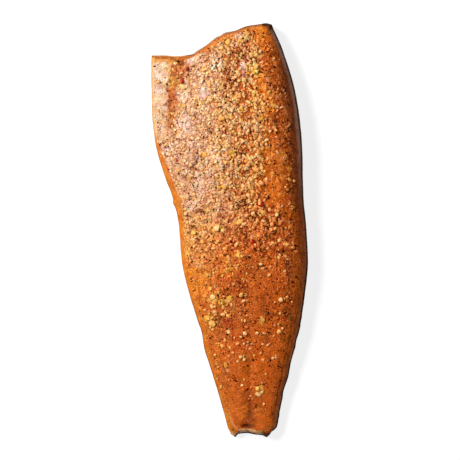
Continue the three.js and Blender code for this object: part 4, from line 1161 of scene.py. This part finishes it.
def seasoned(t, bsdf, node, attribute):
    """Flesh under glaze: the tint of each place, freckled and beaded at grain size."""
    pos_ = node("ShaderNodeTexCoord").outputs["Object"]
    n1 = node("ShaderNodeTexNoise", Vector=pos_, Scale=620.0, Detail=3.0, Roughness=0.6).outputs["Fac"]
    n2 = node("ShaderNodeTexNoise", Vector=pos_, Scale=170.0, Detail=3.0, Roughness=0.55).outputs["Fac"]
    v1 = node("ShaderNodeTexVoronoi", Vector=pos_, Scale=760.0).outputs["Distance"]
    shade = node("ShaderNodeMath", "MULTIPLY", _0=spread(node, n1, 0.32, 0.70, 0.88, 1.10), _1=spread(node, n2, 0.3, 0.7, 0.84, 1.16)).outputs[0]
    tinted(t, bsdf, node, attribute("tint").outputs["Color"], shade)
    rough = node("ShaderNodeMath", "MULTIPLY_ADD", _0=n1, _1=0.22, _2=-0.11).outputs[0]
    rough = node("ShaderNodeMath", "ADD", _0=rough, _1=attribute("dull").outputs["Fac"]).outputs[0]
    t.links.new(rough, bsdf.inputs["Roughness"])
    height = node("ShaderNodeMath", "MULTIPLY_ADD", _0=v1, _1=-0.5, _2=n1).outputs[0]
    bump = node("ShaderNodeBump", Strength=0.85, Distance=0.0009, Height=height)
    t.links.new(bump.outputs["Normal"], bsdf.inputs["Normal"])
    bsdf.inputs["Specular IOR Level"].default_value = 0.19
    bsdf.inputs["Specular Tint"].default_value = (1.0, 0.86, 0.66, 1)
    bsdf.inputs["Subsurface Weight"].default_value = 0.16
    bsdf.inputs["Subsurface Radius"].default_value = (1.0, 0.35, 0.12)
    bsdf.inputs["Subsurface Scale"].default_value = 0.003


def skin_look(t, bsdf, node, attribute):
    pos_ = node("ShaderNodeTexCoord").outputs["Object"]
    n1 = node("ShaderNodeTexNoise", Vector=pos_, Scale=500.0, Detail=3.0).outputs["Fac"]
    tinted(t, bsdf, node, attribute("tint").outputs["Color"], spread(node, n1, 0.3, 0.7, 0.75, 1.25))
    t.links.new(attribute("dull").outputs["Fac"], bsdf.inputs["Roughness"])
    bump = node("ShaderNodeBump", Strength=0.4, Distance=0.0004, Height=n1)
    t.links.new(bump.outputs["Normal"], bsdf.inputs["Normal"])
    bsdf.inputs["Specular IOR Level"].default_value = 0.08


def grainy(scale, rough, coat, sss=0.0, shine=0.25, ior=1.45):
    def build(t, bsdf, node, attribute):
        pos_ = node("ShaderNodeTexCoord").outputs["Object"]
        n1 = node("ShaderNodeTexNoise", Vector=pos_, Scale=scale, Detail=2.0).outputs["Fac"]
        tinted(t, bsdf, node, attribute("tint").outputs["Color"], spread(node, n1, 0.3, 0.7, 0.78, 1.18))
        bump = node("ShaderNodeBump", Strength=0.4, Distance=0.0003, Height=n1)
        t.links.new(bump.outputs["Normal"], bsdf.inputs["Normal"])
        bsdf.inputs["Roughness"].default_value = rough
        bsdf.inputs["Specular IOR Level"].default_value = shine
        bsdf.inputs["Specular Tint"].default_value = (1.0, 0.86, 0.66, 1)
        bsdf.inputs["IOR"].default_value = ior
        bsdf.inputs["Coat Weight"].default_value = coat
        bsdf.inputs["Coat Roughness"].default_value = 0.2
        bsdf.inputs["Subsurface Weight"].default_value = sss
        bsdf.inputs["Subsurface Radius"].default_value = (1.0, 0.5, 0.25)
        bsdf.inputs["Subsurface Scale"].default_value = 0.001
    return build


flesh.data.materials.append(material("seasoned_flesh", seasoned))
skin.data.materials.append(material("fish_skin", skin_look))
look = {
    "crumbs": material("crumb", grainy(900.0, 0.28, 0.0, 0.0, 0.12)),
    "granules": material("granule", grainy(800.0, 0.22, 0.0, 0.0, 0.20)),
    "seeds": material("seed", grainy(500.0, 0.26, 0.04, 0.1, 0.16)),
    "flakes": material("flake", grainy(600.0, 0.30, 0.0, 0.1, 0.16)),
    "pepper": material("cracked_pepper", grainy(900.0, 0.5, 0.0, 0.0, 0.0, 1.02)),
    "red_flakes": material("red_flake", grainy(600.0, 0.32, 0.0, 0.0, 0.1)),
    "herbs": material("herb", grainy(600.0, 0.5, 0.0, 0.0, 0.02, 1.05)),
}
for key, ob in pieces.items():
    ob.data.materials.append(look[key])
    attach(ob, "root")
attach(flesh, "root")
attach(skin, "root")
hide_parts("fillet")

# ------------------------------------------------------------ stage
bpy.ops.mesh.primitive_plane_add(size=8, location=(0, 0, -0.0002))
floor = bpy.context.object
floor.name = "floor"


def floor_look(t, bsdf, node, attribute):
    bsdf.inputs["Base Color"].default_value = (0.26, 0.26, 0.26, 1)
    bsdf.inputs["Emission Color"].default_value = (1, 1, 1, 1)
    bsdf.inputs["Emission Strength"].default_value = 0.80
    bsdf.inputs["Roughness"].default_value = 0.8
    bsdf.inputs["Specular IOR Level"].default_value = 0.1


floor.data.materials.append(material("floor", floor_look))
floor.visible_glossy = False

scene = bpy.context.scene
scene.view_settings.view_transform = "Standard"
world = bpy.data.worlds.new("world")
scene.world = world
world.use_nodes = True
world.node_tree.nodes["Background"].inputs[0].default_value = (1, 1, 1, 1)
world.node_tree.nodes["Background"].inputs[1].default_value = 0.08
world.cycles_visibility.glossy = False


def softbox(name, where, aim, width, height, power):
    data = bpy.data.lights.new(name, "AREA")
    data.shape = "RECTANGLE"
    data.size, data.size_y = width, height
    data.energy = power
    ob = bpy.data.objects.new(name, data)
    scene.collection.objects.link(ob)
    ob.location = where
    ob.rotation_mode = "QUATERNION"
    ob.rotation_quaternion = (Vector(aim) - Vector(where)).to_track_quat("-Z", "Y")
    return ob


softbox("key", (-2.0, 1.25, 1.95), (0, 0, 0), 0.9, 0.8, 133)
softbox("fill", (2.4, -1.6, 1.5), (0, 0, 0), 2.4, 1.2, 29).visible_glossy = False

cam = bpy.data.cameras.new("camera")
cam.sensor_width = 36
cam.lens = 36 * (CAMERA_HEIGHT * MM) / (460 * PX * MM)
cam.clip_end = 50
camera = bpy.data.objects.new("camera", cam)
scene.collection.objects.link(camera)
camera.location = (0.5 * PX * MM, 0, CAMERA_HEIGHT * MM)
scene.camera = camera
